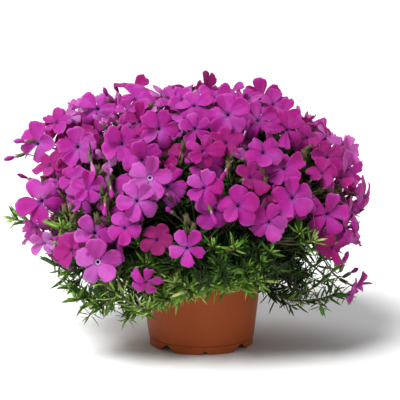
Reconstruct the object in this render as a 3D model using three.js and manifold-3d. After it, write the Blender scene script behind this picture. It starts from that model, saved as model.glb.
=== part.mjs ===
// A potted moss phlox in full bloom: a round plastic pot with four feet, the potting soil, a woody
// root crown, flowering stems that fan out of it, the bloom clusters on them, and leafy shoots that
// trail over the rim. Millimetres, +Z up, origin on the floor under the pot's axis. The front is -Y.
import * as THREE from "three";
import { mergeVertices } from "three/addons/utils/BufferGeometryUtils.js";
import Module from "manifold-3d";

const wasm = await Module();
wasm.setup();

// ---- driving dimensions ---------------------------------------------------------------------
const GAP = 0.3; // between pieces that touch

const POT = {
  height: 68,
  rimRadius: 46.6, // outside, over the lip
  lipHeight: 7,
  lipStep: 1.1, // how far the lip stands out of the wall
  wallTopRadius: 45.2, // outside, just under the lip
  wallFootRadius: 39, // outside, at the wall's lower edge
  footHeight: 6.5, // the wall's lower edge stands this high on the feet
  footRadius: 38.2, // outside of the foot ring
  footThickness: 2,
  wall: 1.7,
  plateTop: 8.2, // inside floor of the pot
  turn: 4, // degrees, how far the feet are turned from the front
  facets: 48,
};
const FOOT_GAP = { count: 4, width: 18, height: 5.2 }; // V-shaped openings between the feet
const FOOT_NOTCH = { count: 4, width: 9, height: 2.5 }; // a small V in the middle of each foot
const DRAIN = { count: 8, radius: 3.5, circle: 24 };

const SOIL_TOP = 59.5; // at the pot's wall; it rises a little to the crown
const SOIL_MIDDLE = 61;
const CROWN = { z: 62, radius: 14, rootRadius: 7, rootDepth: 30 };

// The bloom dome is an ellipsoid. The throats of the blooms lie on it.
const DOME_CENTRE = new THREE.Vector3(-2, 0, 95);
const DOME_RADII = new THREE.Vector3(121, 115, 93);

// Rings of flowering stems, from the lowest to the topmost: [degrees above level, stems in the ring].
const STEM_RINGS = [
  [18, 10],
  [42, 8],
  [66, 4],
  [90, 1],
];
const STEM_RADIUS = 1.2;
const STEM_LEAVES = 6;
const HUB_SHARE = 0.62; // a stem ends this far out to the dome, and its pedicels start there
const HUB_RADIUS = 4;
const LEAF = { length: 15, width: 1.2, thickness: 0.8 };

// A bloom's limb: [degrees round from its petal's middle, share of the radius, height above the throat].
const LOBE = [
  [-21, 0.97, 1.2],
  [21, 0.97, 1.2],
  [36, 0.45, 0.5],
];
const LIMB_DEPTH = 2.2; // the limb narrows to a point this far behind the throat
const TUBE_LENGTH = 12; // behind the throat
const TUBE_RADIUS = 1.1;
const PEDICEL_RADIUS = 0.45; // where it meets the hub

// Front blooms are set out on a square grid, 400 steps each way, as seen from an eye point in front
// of the plant. The grid plane goes through AIM, square to the line of sight.
const GRID_STEP = 0.73;
const GRID_MIDDLE = 200;
const AIM = new THREE.Vector3(-0.9, 0, 106.3);
const EYE_DISTANCE = 1000;
const EYE_PITCH = 9; // degrees, looking down

// [column, row, width in grid steps, spin, pan, tilt], the foremost first. Spin turns the bloom
// clockwise; pan turns it to the right and tilt turns it up, away from facing the eye, in degrees.
const FRONT_BLOOMS = [
  [98, 262, 50, -4, -5, -5],
  [137, 201, 44, -25, -3, 5],
  [150, 178, 50, 16, -5, 10],
  [167, 186, 46, 25, 0, 5],
  [228, 115, 48, -5, 5, 15],
  [287, 130, 44, -15, 10, 10],
  [292, 198, 46, -5, 10, 5],
  [98, 109, 46, 20, -15, 15],
  [78, 147, 43, -10, -10, 5],
  [42, 201, 50, 35, -20, 0],
  [95, 233, 46, 33, -5, 5],
  [122, 144, 44, 30, 0, 5],
  [159, 129, 44, 20, 5, 10],
  [195, 129, 38, -5, 5, 5],
  [204, 188, 42, 15, 5, 15],
  [238, 206, 46, 0, 5, 10],
  [284, 169, 44, 0, 5, 25],
  [327, 214, 44, 12, 10, -5],
  [187, 248, 39, 36, 0, -5],
  [146, 282, 36, 10, -5, -30],
  [269, 222, 42, 15, 0, -10],
  [142, 160, 44, 50, 5, 5],
  [88, 188, 38, 0, -5, 10],
  [125, 228, 38, 35, -5, 15],
  [258, 121, 40, -5, 15, 25],
  [263, 153, 42, -34, 5, 20],
  [250, 178, 40, 20, 35, 10],
  [203, 152, 40, 20, 20, 10],
  [153, 144, 42, 40, 5, -5],
  [279, 206, 42, 12, 0, 15],
  [72, 250, 38, -40, -35, 5],
  [37, 227, 36, -10, -40, -10],
  [38, 144, 44, 10, -35, 10],
  [57, 123, 34, 0, -20, 40],
  [50, 166, 38, 30, -20, 40],
  [135, 100, 44, 0, -5, 45],
  [162, 97, 34, 0, 40, 40],
  [194, 106, 44, 0, 0, 35],
  [263, 97, 42, -10, 5, 20],
  [327, 158, 42, -10, 20, 10],
  [343, 153, 36, 20, 40, 15],
  [347, 170, 40, 10, 45, 0],
  [364, 196, 46, 0, 55, -5],
  [332, 247, 36, 0, -10, -40],
  [353, 236, 38, 60, 78, -35],
  [205, 88, 34, -15, 50, 15],
  [133, 88, 40, 0, 20, 60],
  [326, 137, 34, 0, 60, 30],
  [316, 128, 34, 0, 30, 50],
  [184, 113, 36, 10, 0, 35],
  [157, 240, 36, 35, 0, 10],
  [226, 143, 38, 0, 0, 30],
  [285, 114, 36, 20, 5, 45],
  [140, 122, 38, 0, 0, 20],
  [127, 112, 28, 0, -10, 20],
  [175, 101, 38, 30, 0, 50],
  [215, 98, 38, 0, 0, 50],
  [230, 93, 32, 10, 10, 60],
  [322, 174, 36, 0, 0, 40],
  [340, 179, 40, 0, 40, 60],
  [349, 212, 36, 0, 80, -10],
  [74, 180, 34, 40, -10, 10],
  [82, 200, 36, 10, -5, 20],
  [68, 118, 30, 20, -10, 50],
  [80, 108, 28, 0, -20, 60],
  [90, 103, 30, 0, 0, 60],
  [355, 287, 36, 10, 75, -25],
  [60, 130, 34, 20, -20, 10],
  [80, 126, 34, 0, 0, 20],
  [307, 138, 34, 0, 10, 30],
  [345, 162, 34, 0, 50, 10],
  [45, 243, 28, 20, -30, -20],
];
const FIT = { mostShift: 4, leastScale: 0.72 };
const SETTLE_STEP = 2; // a bloom that would meet an earlier one moves back this far at a time
const SETTLE_LIMIT = 10; // steps
const LIMB_CLEARANCE = 4.5; // between limbs that lie behind each other
const LIMB_SHARE = 0.82; // limbs meet where their centres are closer than this share of both radii

// The other blooms follow a golden-angle spiral over the dome; those that face the eye are left out.
const SPIRAL = {
  count: 190,
  lowest: -0.3, // height on the dome, as a share of its radius
  mostFacing: 0.12,
  layers: [1, 0.97, 0.94], // shares of the way out to the dome
  radii: [14.4, 16, 17.6, 15.2, 16.8],
  rises: [-30, 10, -10, 30], // how far above level each one leans
  lean: 0.3,
  stepIn: 3,
  tries: 3,
  leftOut: [12, 27], // would stand out above the front ones
};
const GOLDEN_ANGLE = 137.508;

// Shoots that trail over the rim: [degrees from the front towards +X, reach, height of the tip].
const TRAILING_SHOOTS = [
  [-14, 63, 48],
  [18, 60, 55],
  [55, 84, 42],
  [86, 108, 34],
  [126, 92, 44],
  [162, 84, 50],
  [198, 86, 48],
  [234, 88, 46],
  [270, 100, 42],
  [300, 92, 30],
  [316, 76, 30],
];
const TRAIL = { overRim: 71.5, rise: 6, radius: 1.3, leaves: 12, firstLeafAt: 0.5 };

// ---- small helpers --------------------------------------------------------------------------
const radians = THREE.MathUtils.degToRad;
const range = (count) => [...Array(count).keys()];
const two = (index) => String(index + 1).padStart(2, "0");

function solid(geometry) {
  const bare = geometry.clone();
  bare.deleteAttribute("normal");
  bare.deleteAttribute("uv");
  const merged = mergeVertices(bare, 1e-4);
  return new wasm.Manifold(
    new wasm.Mesh({
      numProp: 3,
      vertProperties: new Float32Array(merged.attributes.position.array),
      triVerts: new Uint32Array(merged.index.array),
    }),
  );
}

function geometryOf(manifold) {
  const mesh = manifold.getMesh();
  const geometry = new THREE.BufferGeometry();
  geometry.setAttribute("position", new THREE.BufferAttribute(mesh.vertProperties, mesh.numProp));
  geometry.setIndex(new THREE.BufferAttribute(mesh.triVerts, 1));
  const flat = geometry.toNonIndexed();
  flat.computeVertexNormals();
  return flat;
}

const joined = (solids) => solids.reduce((whole, piece) => whole.add(piece));

function largestBody(manifold) {
  const bodies = manifold.decompose();
  return bodies.reduce((best, body) => (body.volume() > best.volume() ? body : best));
}

// A direction from an angle off the front (towards +X) and an angle above level, in degrees.
function direction(azimuth, elevation) {
  const a = radians(azimuth);
  const e = radians(elevation);
  return new THREE.Vector3(Math.sin(a) * Math.cos(e), -Math.cos(a) * Math.cos(e), Math.sin(e));
}

// A tube of straight facets through the points, as wide as given at each of them.
function tube(points, radii, sides, phase = 0) {
  const position = [];
  const index = [];
  let across = new THREE.Vector3(0.31, 0.17, 0.93);
  points.forEach((point, i) => {
    const along = new THREE.Vector3().subVectors(
      points[Math.min(i + 1, points.length - 1)],
      points[Math.max(i - 1, 0)],
    );
    along.normalize();
    across = across.clone().addScaledVector(along, -across.dot(along)).normalize();
    const other = new THREE.Vector3().crossVectors(along, across);
    range(sides).forEach((k) => {
      const turn = (2 * Math.PI * k) / sides + phase;
      const at = point
        .clone()
        .addScaledVector(across, radii[i] * Math.cos(turn))
        .addScaledVector(other, radii[i] * Math.sin(turn));
      position.push(at.x, at.y, at.z);
    });
  });
  const last = (points.length - 1) * sides;
  range(points.length - 1).forEach((i) =>
    range(sides).forEach((k) => {
      const a = i * sides + k;
      const b = i * sides + ((k + 1) % sides);
      index.push(a, b, b + sides, a, b + sides, a + sides);
    }),
  );
  range(sides - 2).forEach((k) => {
    index.push(0, k + 2, k + 1);
    index.push(last, last + k + 1, last + k + 2);
  });
  const geometry = new THREE.BufferGeometry();
  geometry.setAttribute("position", new THREE.BufferAttribute(new Float32Array(position), 3));
  geometry.setIndex(index);
  return geometry;
}

function lathe(profile, facets = POT.facets) {
  const points = profile.map(([r, z]) => new THREE.Vector2(r, z));
  return new THREE.LatheGeometry(points, facets).rotateX(Math.PI / 2);
}

// ---- pot, soil and crown --------------------------------------------------------------------
// A V-shaped cutter that lies along a radius of the foot ring.
function footCutter({ width, height }, azimuth) {
  const vee = new THREE.Shape([
    new THREE.Vector2(-width / 2, -1),
    new THREE.Vector2(width / 2, -1),
    new THREE.Vector2(0, height),
  ]);
  const cutter = new THREE.ExtrudeGeometry(vee, { depth: 12, bevelEnabled: false });
  cutter.rotateX(Math.PI / 2); // the extrusion now runs towards -Y
  cutter.translate(0, 6 - POT.footRadius, 0);
  return solid(cutter.rotateZ(radians(azimuth + POT.turn)));
}

function potSolid() {
  const inner = POT.wallFootRadius - POT.wall;
  const footInner = POT.footRadius - POT.footThickness;
  const plateUnder = POT.plateTop - POT.wall;
  const body = solid(
    lathe([
      [0, plateUnder],
      [footInner, plateUnder],
      [footInner, 0],
      [POT.footRadius - 0.4, 0],
      [POT.footRadius, POT.footHeight - 0.5],
      [POT.wallFootRadius - 0.3, POT.footHeight],
      [POT.wallFootRadius, POT.footHeight + 0.8],
      [POT.wallTopRadius, POT.height - POT.lipHeight],
      [POT.wallTopRadius + POT.lipStep, POT.height - POT.lipHeight + 0.8],
      [POT.rimRadius, POT.height - 0.6],
      [POT.rimRadius - 0.6, POT.height],
      [POT.rimRadius - 2, POT.height],
      [inner, POT.plateTop],
      [0, POT.plateTop],
    ]),
  );
  const cuts = [];
  for (const index of range(FOOT_GAP.count)) {
    cuts.push(footCutter(FOOT_GAP, 45 + (index * 360) / FOOT_GAP.count));
  }
  for (const index of range(FOOT_NOTCH.count)) {
    cuts.push(footCutter(FOOT_NOTCH, (index * 360) / FOOT_NOTCH.count));
  }
  for (const index of range(DRAIN.count)) {
    const at = direction(((index + 0.5) * 360) / DRAIN.count, 0).multiplyScalar(DRAIN.circle);
    const drill = new THREE.CylinderGeometry(DRAIN.radius, DRAIN.radius, 8, 12);
    drill.rotateX(Math.PI / 2);
    cuts.push(solid(drill.translate(at.x, at.y, POT.plateTop)));
  }
  return body.subtract(joined(cuts));
}

// The pot's inside radius at a height.
function insideRadius(z) {
  const foot = POT.wallFootRadius - POT.wall;
  const top = POT.rimRadius - 2;
  return foot + ((top - foot) * (z - POT.plateTop)) / (POT.height - POT.plateTop);
}

function soilSolid() {
  const floor = POT.plateTop + GAP;
  const pocket = CROWN.rootRadius + GAP;
  return solid(
    lathe(
      [
        [0, floor],
        [insideRadius(floor) - GAP, floor],
        [insideRadius(SOIL_TOP) - GAP, SOIL_TOP],
        [CROWN.radius * 2, SOIL_MIDDLE - 0.4],
        [pocket, SOIL_MIDDLE],
        [pocket, CROWN.z - CROWN.rootDepth - GAP],
        [0, CROWN.z - CROWN.rootDepth - GAP],
      ],
      24,
    ),
  );
}

// The room the pot takes up, which the shoots keep clear of.
const potRoom = solid(
  lathe([
    [0, 0],
    [POT.rimRadius + GAP * 2, 0],
    [POT.rimRadius + GAP * 2, POT.height + GAP * 2],
    [0, POT.height + GAP * 2],
  ]),
);

function crownSolid() {
  const collar = SOIL_MIDDLE + GAP;
  const dome = range(5).map((step) => {
    const rise = radians(4 + step * 20);
    return [CROWN.radius * Math.cos(rise), CROWN.z + CROWN.radius * Math.sin(rise)];
  });
  return solid(
    lathe(
      [
        [0, CROWN.z - CROWN.rootDepth],
        [CROWN.rootRadius * 0.5, CROWN.z - CROWN.rootDepth],
        [CROWN.rootRadius, CROWN.z - CROWN.rootDepth * 0.5],
        [CROWN.rootRadius, collar],
        [CROWN.radius * 0.97, collar],
        ...dome,
        [0, CROWN.z + CROWN.radius],
      ],
      16,
    ),
  );
}

// ---- where the blooms are -------------------------------------------------------------------
const crownCentre = new THREE.Vector3(0, 0, CROWN.z);
const forward = new THREE.Vector3(0, Math.cos(radians(EYE_PITCH)), -Math.sin(radians(EYE_PITCH)));
const rightward = new THREE.Vector3(1, 0, 0);
const upward = new THREE.Vector3().crossVectors(rightward, forward);
const eye = AIM.clone().addScaledVector(forward, -EYE_DISTANCE);

// Where the line of sight through a grid point first meets the dome, or passes closest to it.
function onDome(column, row) {
  const through = AIM.clone()
    .addScaledVector(rightward, (column - GRID_MIDDLE) * GRID_STEP)
    .addScaledVector(upward, (GRID_MIDDLE - row) * GRID_STEP);
  const sight = through.clone().sub(eye).normalize();
  const start = eye.clone().sub(DOME_CENTRE).divide(DOME_RADII);
  const slope = sight.clone().divide(DOME_RADII);
  const a = slope.dot(slope);
  const b = start.dot(slope);
  const depth = b * b - a * (start.dot(start) - 1);
  const along = (-b - Math.sqrt(Math.max(depth, 0))) / a;
  return { centre: eye.clone().addScaledVector(sight, along), sight };
}

// The direction that faces the eye, turned right by pan and then up by tilt.
function facing(sight, pan, tilt) {
  const toEye = sight.clone().negate();
  const right = new THREE.Vector3(-toEye.y, toEye.x, 0).normalize();
  const above = new THREE.Vector3().crossVectors(toEye, right);
  return toEye
    .multiplyScalar(Math.cos(radians(pan)) * Math.cos(radians(tilt)))
    .addScaledVector(right, Math.sin(radians(pan)) * Math.cos(radians(tilt)))
    .addScaledVector(above, Math.sin(radians(tilt)))
    .normalize();
}

function meets(one, other) {
  const reach = LIMB_SHARE * (one.radius + other.radius);
  const apart = new THREE.Vector3().subVectors(one.centre, other.centre);
  if (apart.length() > reach) return false;
  const behind = Math.abs(apart.dot(other.normal));
  return behind < LIMB_CLEARANCE && Math.sqrt(apart.lengthSq() - behind * behind) < reach;
}

// Each front bloom moves back along its line of sight until it clears the ones before it.
function frontBlooms() {
  const placed = [];
  for (const [column, row, width, spin, pan, tilt] of FRONT_BLOOMS) {
    const { centre, sight } = onDome(column, row);
    const radius = (width * GRID_STEP * centre.distanceTo(eye)) / EYE_DISTANCE / 2;
    const bloom = { centre, radius, spin, normal: facing(sight, pan, tilt) };
    for (let step = 0; step < SETTLE_LIMIT && placed.some((p) => meets(bloom, p)); step += 1) {
      bloom.centre.addScaledVector(sight, SETTLE_STEP);
    }
    placed.push(bloom);
  }
  return placed;
}

// Blooms all round the dome. One that would meet another moves in, and is left out if it still would.
function allBlooms() {
  const blooms = frontBlooms();
  for (const index of range(SPIRAL.count)) {
    const height = 1 - ((1 - SPIRAL.lowest) * (index + 0.5)) / SPIRAL.count;
    const azimuth = index * GOLDEN_ANGLE;
    const outward = direction(azimuth, 0).multiplyScalar(Math.sqrt(1 - height * height)).setZ(height);
    const normal = outward.clone().divide(DOME_RADII).normalize();
    if (-normal.dot(forward) > SPIRAL.mostFacing || SPIRAL.leftOut.includes(index)) continue;
    const share = SPIRAL.layers[index % SPIRAL.layers.length];
    const lean = direction(azimuth * 3, SPIRAL.rises[index % SPIRAL.rises.length]);
    const bloom = {
      centre: outward.multiply(DOME_RADII).multiplyScalar(share).add(DOME_CENTRE),
      radius: SPIRAL.radii[index % SPIRAL.radii.length],
      spin: azimuth % 72,
      normal: normal.clone().addScaledVector(lean, SPIRAL.lean).normalize(),
    };
    for (let turn = 0; turn < SPIRAL.tries; turn += 1) {
      if (!blooms.some((other) => meets(bloom, other))) {
        blooms.push(bloom);
        break;
      }
      bloom.centre.addScaledVector(normal, -SPIRAL.stepIn);
    }
  }
  return blooms;
}

// ---- flowering stems and their blooms -------------------------------------------------------
// How far the dome is from the crown's centre in a direction.
function domeDistance(way) {
  const start = crownCentre.clone().sub(DOME_CENTRE).divide(DOME_RADII);
  const slope = way.clone().divide(DOME_RADII);
  const a = slope.dot(slope);
  const b = start.dot(slope);
  return (-b + Math.sqrt(b * b - a * (start.dot(start) - 1))) / a;
}

const stemWays = STEM_RINGS.flatMap(([elevation, count], ring) =>
  range(count).map((index) => direction(((index + ring / 2) * 360) / count, elevation)),
);
const hubs = stemWays.map((way) =>
  crownCentre.clone().addScaledVector(way, domeDistance(way) * HUB_SHARE),
);

function nearestStem(point) {
  const way = point.clone().sub(crownCentre).normalize();
  return stemWays.reduce(
    (best, stem, index) => (stem.dot(way) > stemWays[best].dot(way) ? index : best),
    0,
  );
}

// The planes round each stem's own share of the space: unit normals that point into the share.
const shareWalls = stemWays.map((way) =>
  stemWays.filter((other) => other !== way).map((other) => way.clone().sub(other).normalize()),
);

function trimmedToShare(piece, stem) {
  return shareWalls[stem].reduce(
    (kept, wall) => kept.trimByPlane(wall.toArray(), wall.dot(crownCentre) + GAP / 2),
    piece,
  );
}

// A bloom that would cross a wall of its stem's share moves in a little, and then gets smaller.
function fittedToShare(bloom, stem) {
  const centre = bloom.centre.clone();
  const reachTo = (wall) => bloom.radius * new THREE.Vector3().crossVectors(wall, bloom.normal).length();
  const inside = (wall) => centre.clone().sub(crownCentre).dot(wall);
  for (const wall of shareWalls[stem]) {
    const missing = reachTo(wall) - inside(wall);
    if (missing > 0) centre.addScaledVector(wall, Math.min(missing, FIT.mostShift));
  }
  const shares = shareWalls[stem].map((wall) => inside(wall) / reachTo(wall));
  const scale = Math.min(1, Math.max(FIT.leastScale, Math.min(...shares)));
  return { ...bloom, centre, radius: bloom.radius * scale };
}

// Where a bloom's tube ends behind its throat: shorter where it would leave the stem's own share.
function tubeEnd({ centre, normal }, stem) {
  const lengths = [1, 0.8, 0.6, 0.4, 0.2].map((share) => share * TUBE_LENGTH);
  const ends = lengths.map((length) => centre.clone().addScaledVector(normal, -length));
  return ends.find((end) => nearestStem(end) === stem) ?? ends.at(-1);
}

// Five broad lobes round a throat, a tube behind them, and a pedicel that runs on to the hub.
function bloomSolid(bloom, stem) {
  const { centre, radius, spin, normal } = bloom;
  const up = Math.abs(normal.z) > 0.95 ? new THREE.Vector3(0, 1, 0) : new THREE.Vector3(0, 0, 1);
  const right = new THREE.Vector3().crossVectors(up, normal).normalize();
  const above = new THREE.Vector3().crossVectors(normal, right);
  const rim = range(5).flatMap((petal) =>
    LOBE.map(([turn, reach, lift]) => {
      const angle = radians(spin + petal * 72 + turn);
      return centre
        .clone()
        .addScaledVector(right, radius * reach * Math.sin(angle))
        .addScaledVector(above, radius * reach * Math.cos(angle))
        .addScaledVector(normal, lift);
    }),
  );
  const back = centre.clone().addScaledVector(normal, -LIMB_DEPTH);
  const corners = [centre, back, ...rim];
  const position = new Float32Array(corners.flatMap((corner) => corner.toArray()));
  const index = range(rim.length).flatMap((k) => {
    const next = 2 + ((k + 1) % rim.length);
    return [0, next, 2 + k, 1, 2 + k, next];
  });
  const limb = new THREE.BufferGeometry();
  limb.setAttribute("position", new THREE.BufferAttribute(position, 3));
  limb.setIndex(index);
  const start = centre.clone().addScaledVector(normal, -LIMB_DEPTH / 2);
  const stalk = tube([start, tubeEnd(bloom, stem), hubs[stem]], [TUBE_RADIUS, TUBE_RADIUS, PEDICEL_RADIUS], 3);
  return solid(limb).add(solid(stalk));
}

function clusterSolid(blooms, stem) {
  const hub = new THREE.OctahedronGeometry(HUB_RADIUS, 0);
  const ball = solid(hub.translate(...hubs[stem].toArray()));
  const fitted = blooms.map((bloom) => bloomSolid(fittedToShare(bloom, stem), stem));
  const whole = joined([ball, ...fitted]);
  return largestBody(trimmedToShare(whole, stem));
}

// A needle leaf that leaves a stem at a point, leaning outward along it.
function leafSolid(at, along, azimuth, lean) {
  const side = new THREE.Vector3(0.2, 0.3, 1).cross(along).normalize();
  side.applyAxisAngle(along, radians(azimuth));
  const across = new THREE.Vector3().crossVectors(along, side).multiplyScalar(LEAF.width / 2);
  const tip = at
    .clone()
    .addScaledVector(along, LEAF.length * Math.cos(radians(lean)))
    .addScaledVector(side, LEAF.length * Math.sin(radians(lean)));
  const corners = [
    at.clone().add(across),
    at.clone().sub(across),
    at.clone().addScaledVector(along, LEAF.thickness),
    tip,
  ];
  const needle = new THREE.BufferGeometry();
  const position = new Float32Array(corners.flatMap((corner) => corner.toArray()));
  needle.setAttribute("position", new THREE.BufferAttribute(position, 3));
  needle.setIndex([0, 1, 2, 0, 3, 1, 1, 3, 2, 2, 3, 0]);
  return solid(needle);
}

function stemSolid(stem) {
  const way = stemWays[stem];
  const length = crownCentre.distanceTo(hubs[stem]) - HUB_RADIUS - GAP;
  const at = (distance) => crownCentre.clone().addScaledVector(way, distance);
  const first = CROWN.radius + GAP * 2;
  const stalk = solid(tube([at(first), at(length)], [STEM_RADIUS, STEM_RADIUS * 0.8], 4));
  const leaves = range(STEM_LEAVES).map((k) => {
    const share = 0.4 + (0.45 * k) / (STEM_LEAVES - 1);
    return leafSolid(at(first + (length - first) * share), way, k * GOLDEN_ANGLE, 50);
  });
  return largestBody(trimmedToShare(joined([stalk, ...leaves]), stem));
}

// ---- trailing shoots ------------------------------------------------------------------------
function shootSolid([azimuth, reach, tipHeight]) {
  const out = (r, z) => direction(azimuth, 0).multiplyScalar(r).setZ(z);
  const rim = POT.rimRadius + 3;
  const rise = radians(TRAIL.rise);
  const start = CROWN.radius + GAP * 2;
  const route = new THREE.CatmullRomCurve3([
    out(start * Math.cos(rise), CROWN.z + start * Math.sin(rise)),
    out(rim * 0.6, TRAIL.overRim - 1),
    out(rim, TRAIL.overRim - 1),
    out((rim + reach) / 2, (TRAIL.overRim + tipHeight) / 2 + 1),
    out(reach, tipHeight),
  ]);
  const steps = 6;
  const stalk = solid(
    tube(
      range(steps + 1).map((k) => route.getPoint(k / steps)),
      range(steps + 1).map((k) => TRAIL.radius * (1 - (0.4 * k) / steps)),
      4,
    ),
  );
  const leaves = range(TRAIL.leaves).map((k) => {
    const t = TRAIL.firstLeafAt + ((0.97 - TRAIL.firstLeafAt) * k) / (TRAIL.leaves - 1);
    return leafSolid(route.getPoint(t), route.getTangent(t).normalize(), k * GOLDEN_ANGLE, 45);
  });
  return largestBody(joined([stalk, ...leaves]).subtract(potRoom));
}

// ---- the model ------------------------------------------------------------------------------
const MATERIALS = {
  terracotta: { color: "#9a4b27", roughness: 0.5 },
  soil: { color: "#2b1d14", roughness: 1 },
  bark: { color: "#5c4630", roughness: 0.9 },
  foliage: { color: "#3f6b25", roughness: 0.6 },
  petal: { color: "#c03aa6", roughness: 0.55 },
};

const phlox = new THREE.Group();

function add(name, manifold, material) {
  const finish = new THREE.MeshStandardMaterial({ ...MATERIALS[material], metalness: 0 });
  const mesh = new THREE.Mesh(geometryOf(manifold), finish);
  mesh.name = name;
  phlox.add(mesh);
}

add("pot", potSolid(), "terracotta");
add("potting_soil", soilSolid(), "soil");
add("root_crown", crownSolid(), "bark");

const shares = stemWays.map(() => []);
for (const bloom of allBlooms()) {
  shares[nearestStem(bloom.centre)].push(bloom);
}
stemWays.forEach((way, stem) => {
  add(`flower_stem_${two(stem)}`, stemSolid(stem), "foliage");
  add(`blooms_${two(stem)}`, clusterSolid(shares[stem], stem), "petal");
});
TRAILING_SHOOTS.forEach((shoot, index) => {
  add(`trailing_shoot_${two(index)}`, shootSolid(shoot), "foliage");
});

export default phlox;
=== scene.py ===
"""A potted moss phlox in full bloom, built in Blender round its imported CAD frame.

Everything is worked out in the frame's own axes: +Z up, the front towards -Y, the origin on the floor
under the pot's axis. Sizes are in millimetres, and a mesh is brought to metres when it is made.
"""

import math
import random

import bpy
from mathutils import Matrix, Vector, noise


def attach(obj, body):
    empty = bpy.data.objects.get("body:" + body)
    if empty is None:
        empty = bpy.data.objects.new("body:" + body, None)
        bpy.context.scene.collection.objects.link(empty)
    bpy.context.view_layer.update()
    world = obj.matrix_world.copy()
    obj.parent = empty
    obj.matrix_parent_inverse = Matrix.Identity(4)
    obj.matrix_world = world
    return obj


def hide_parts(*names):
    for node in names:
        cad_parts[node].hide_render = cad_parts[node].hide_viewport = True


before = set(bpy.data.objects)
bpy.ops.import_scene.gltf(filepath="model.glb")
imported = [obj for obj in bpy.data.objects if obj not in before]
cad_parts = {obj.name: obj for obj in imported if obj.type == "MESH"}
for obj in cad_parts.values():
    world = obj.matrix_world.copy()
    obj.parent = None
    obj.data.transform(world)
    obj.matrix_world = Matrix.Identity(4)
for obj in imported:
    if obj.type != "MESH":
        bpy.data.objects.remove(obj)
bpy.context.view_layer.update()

MM = 0.001
UP = Vector((0, 0, 1))
GOLDEN_ANGLE = math.radians(137.508)

# ---- driving dimensions, as in the CAD -------------------------------------------------------
POT = {
    "height": 68,
    "rim_radius": 46.6,
    "lip_height": 7,
    "lip_step": 1.1,
    "lip_thickness": 2,
    "wall_top_radius": 45.2,
    "wall_foot_radius": 39,
    "foot_height": 6.5,
    "foot_radius": 38.2,
    "foot_thickness": 2,
    "wall": 1.7,
    "plate_top": 8.2,
    "turn": 4,  # degrees
}
FEET = 4
FOOT_GAP = {"width": 18, "height": 5.2}
FOOT_NOTCH = {"width": 9, "height": 2.5}
DRAIN = {"count": 8, "radius": 3.5, "circle": 24, "depth": 8}
SOIL_TOP = 59.5  # at the wall
SOIL_MIDDLE = 61
CROWN = {"z": 62, "radius": 14}

DOME_CENTRE = Vector((-2, 0, 95))
DOME_RADII = Vector((121, 115, 93))
STEM_RINGS = [(18, 10), (42, 8), (66, 4), (90, 1)]  # (degrees above level, stems in the ring)
HUB_SHARE = 0.62  # a stem ends this far out to the dome
TUBE_LENGTH = 12

# ---- where things show from the front --------------------------------------------------------
# They are set out on a square grid, 400 steps each way, as seen from the camera. Angles are degrees.
GRID_STEP = 0.73
GRID_MIDDLE = 200
AIM = Vector((-0.9, 0, 106.3))
EYE_DISTANCE = 1000
EYE_PITCH = math.radians(9)

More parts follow.
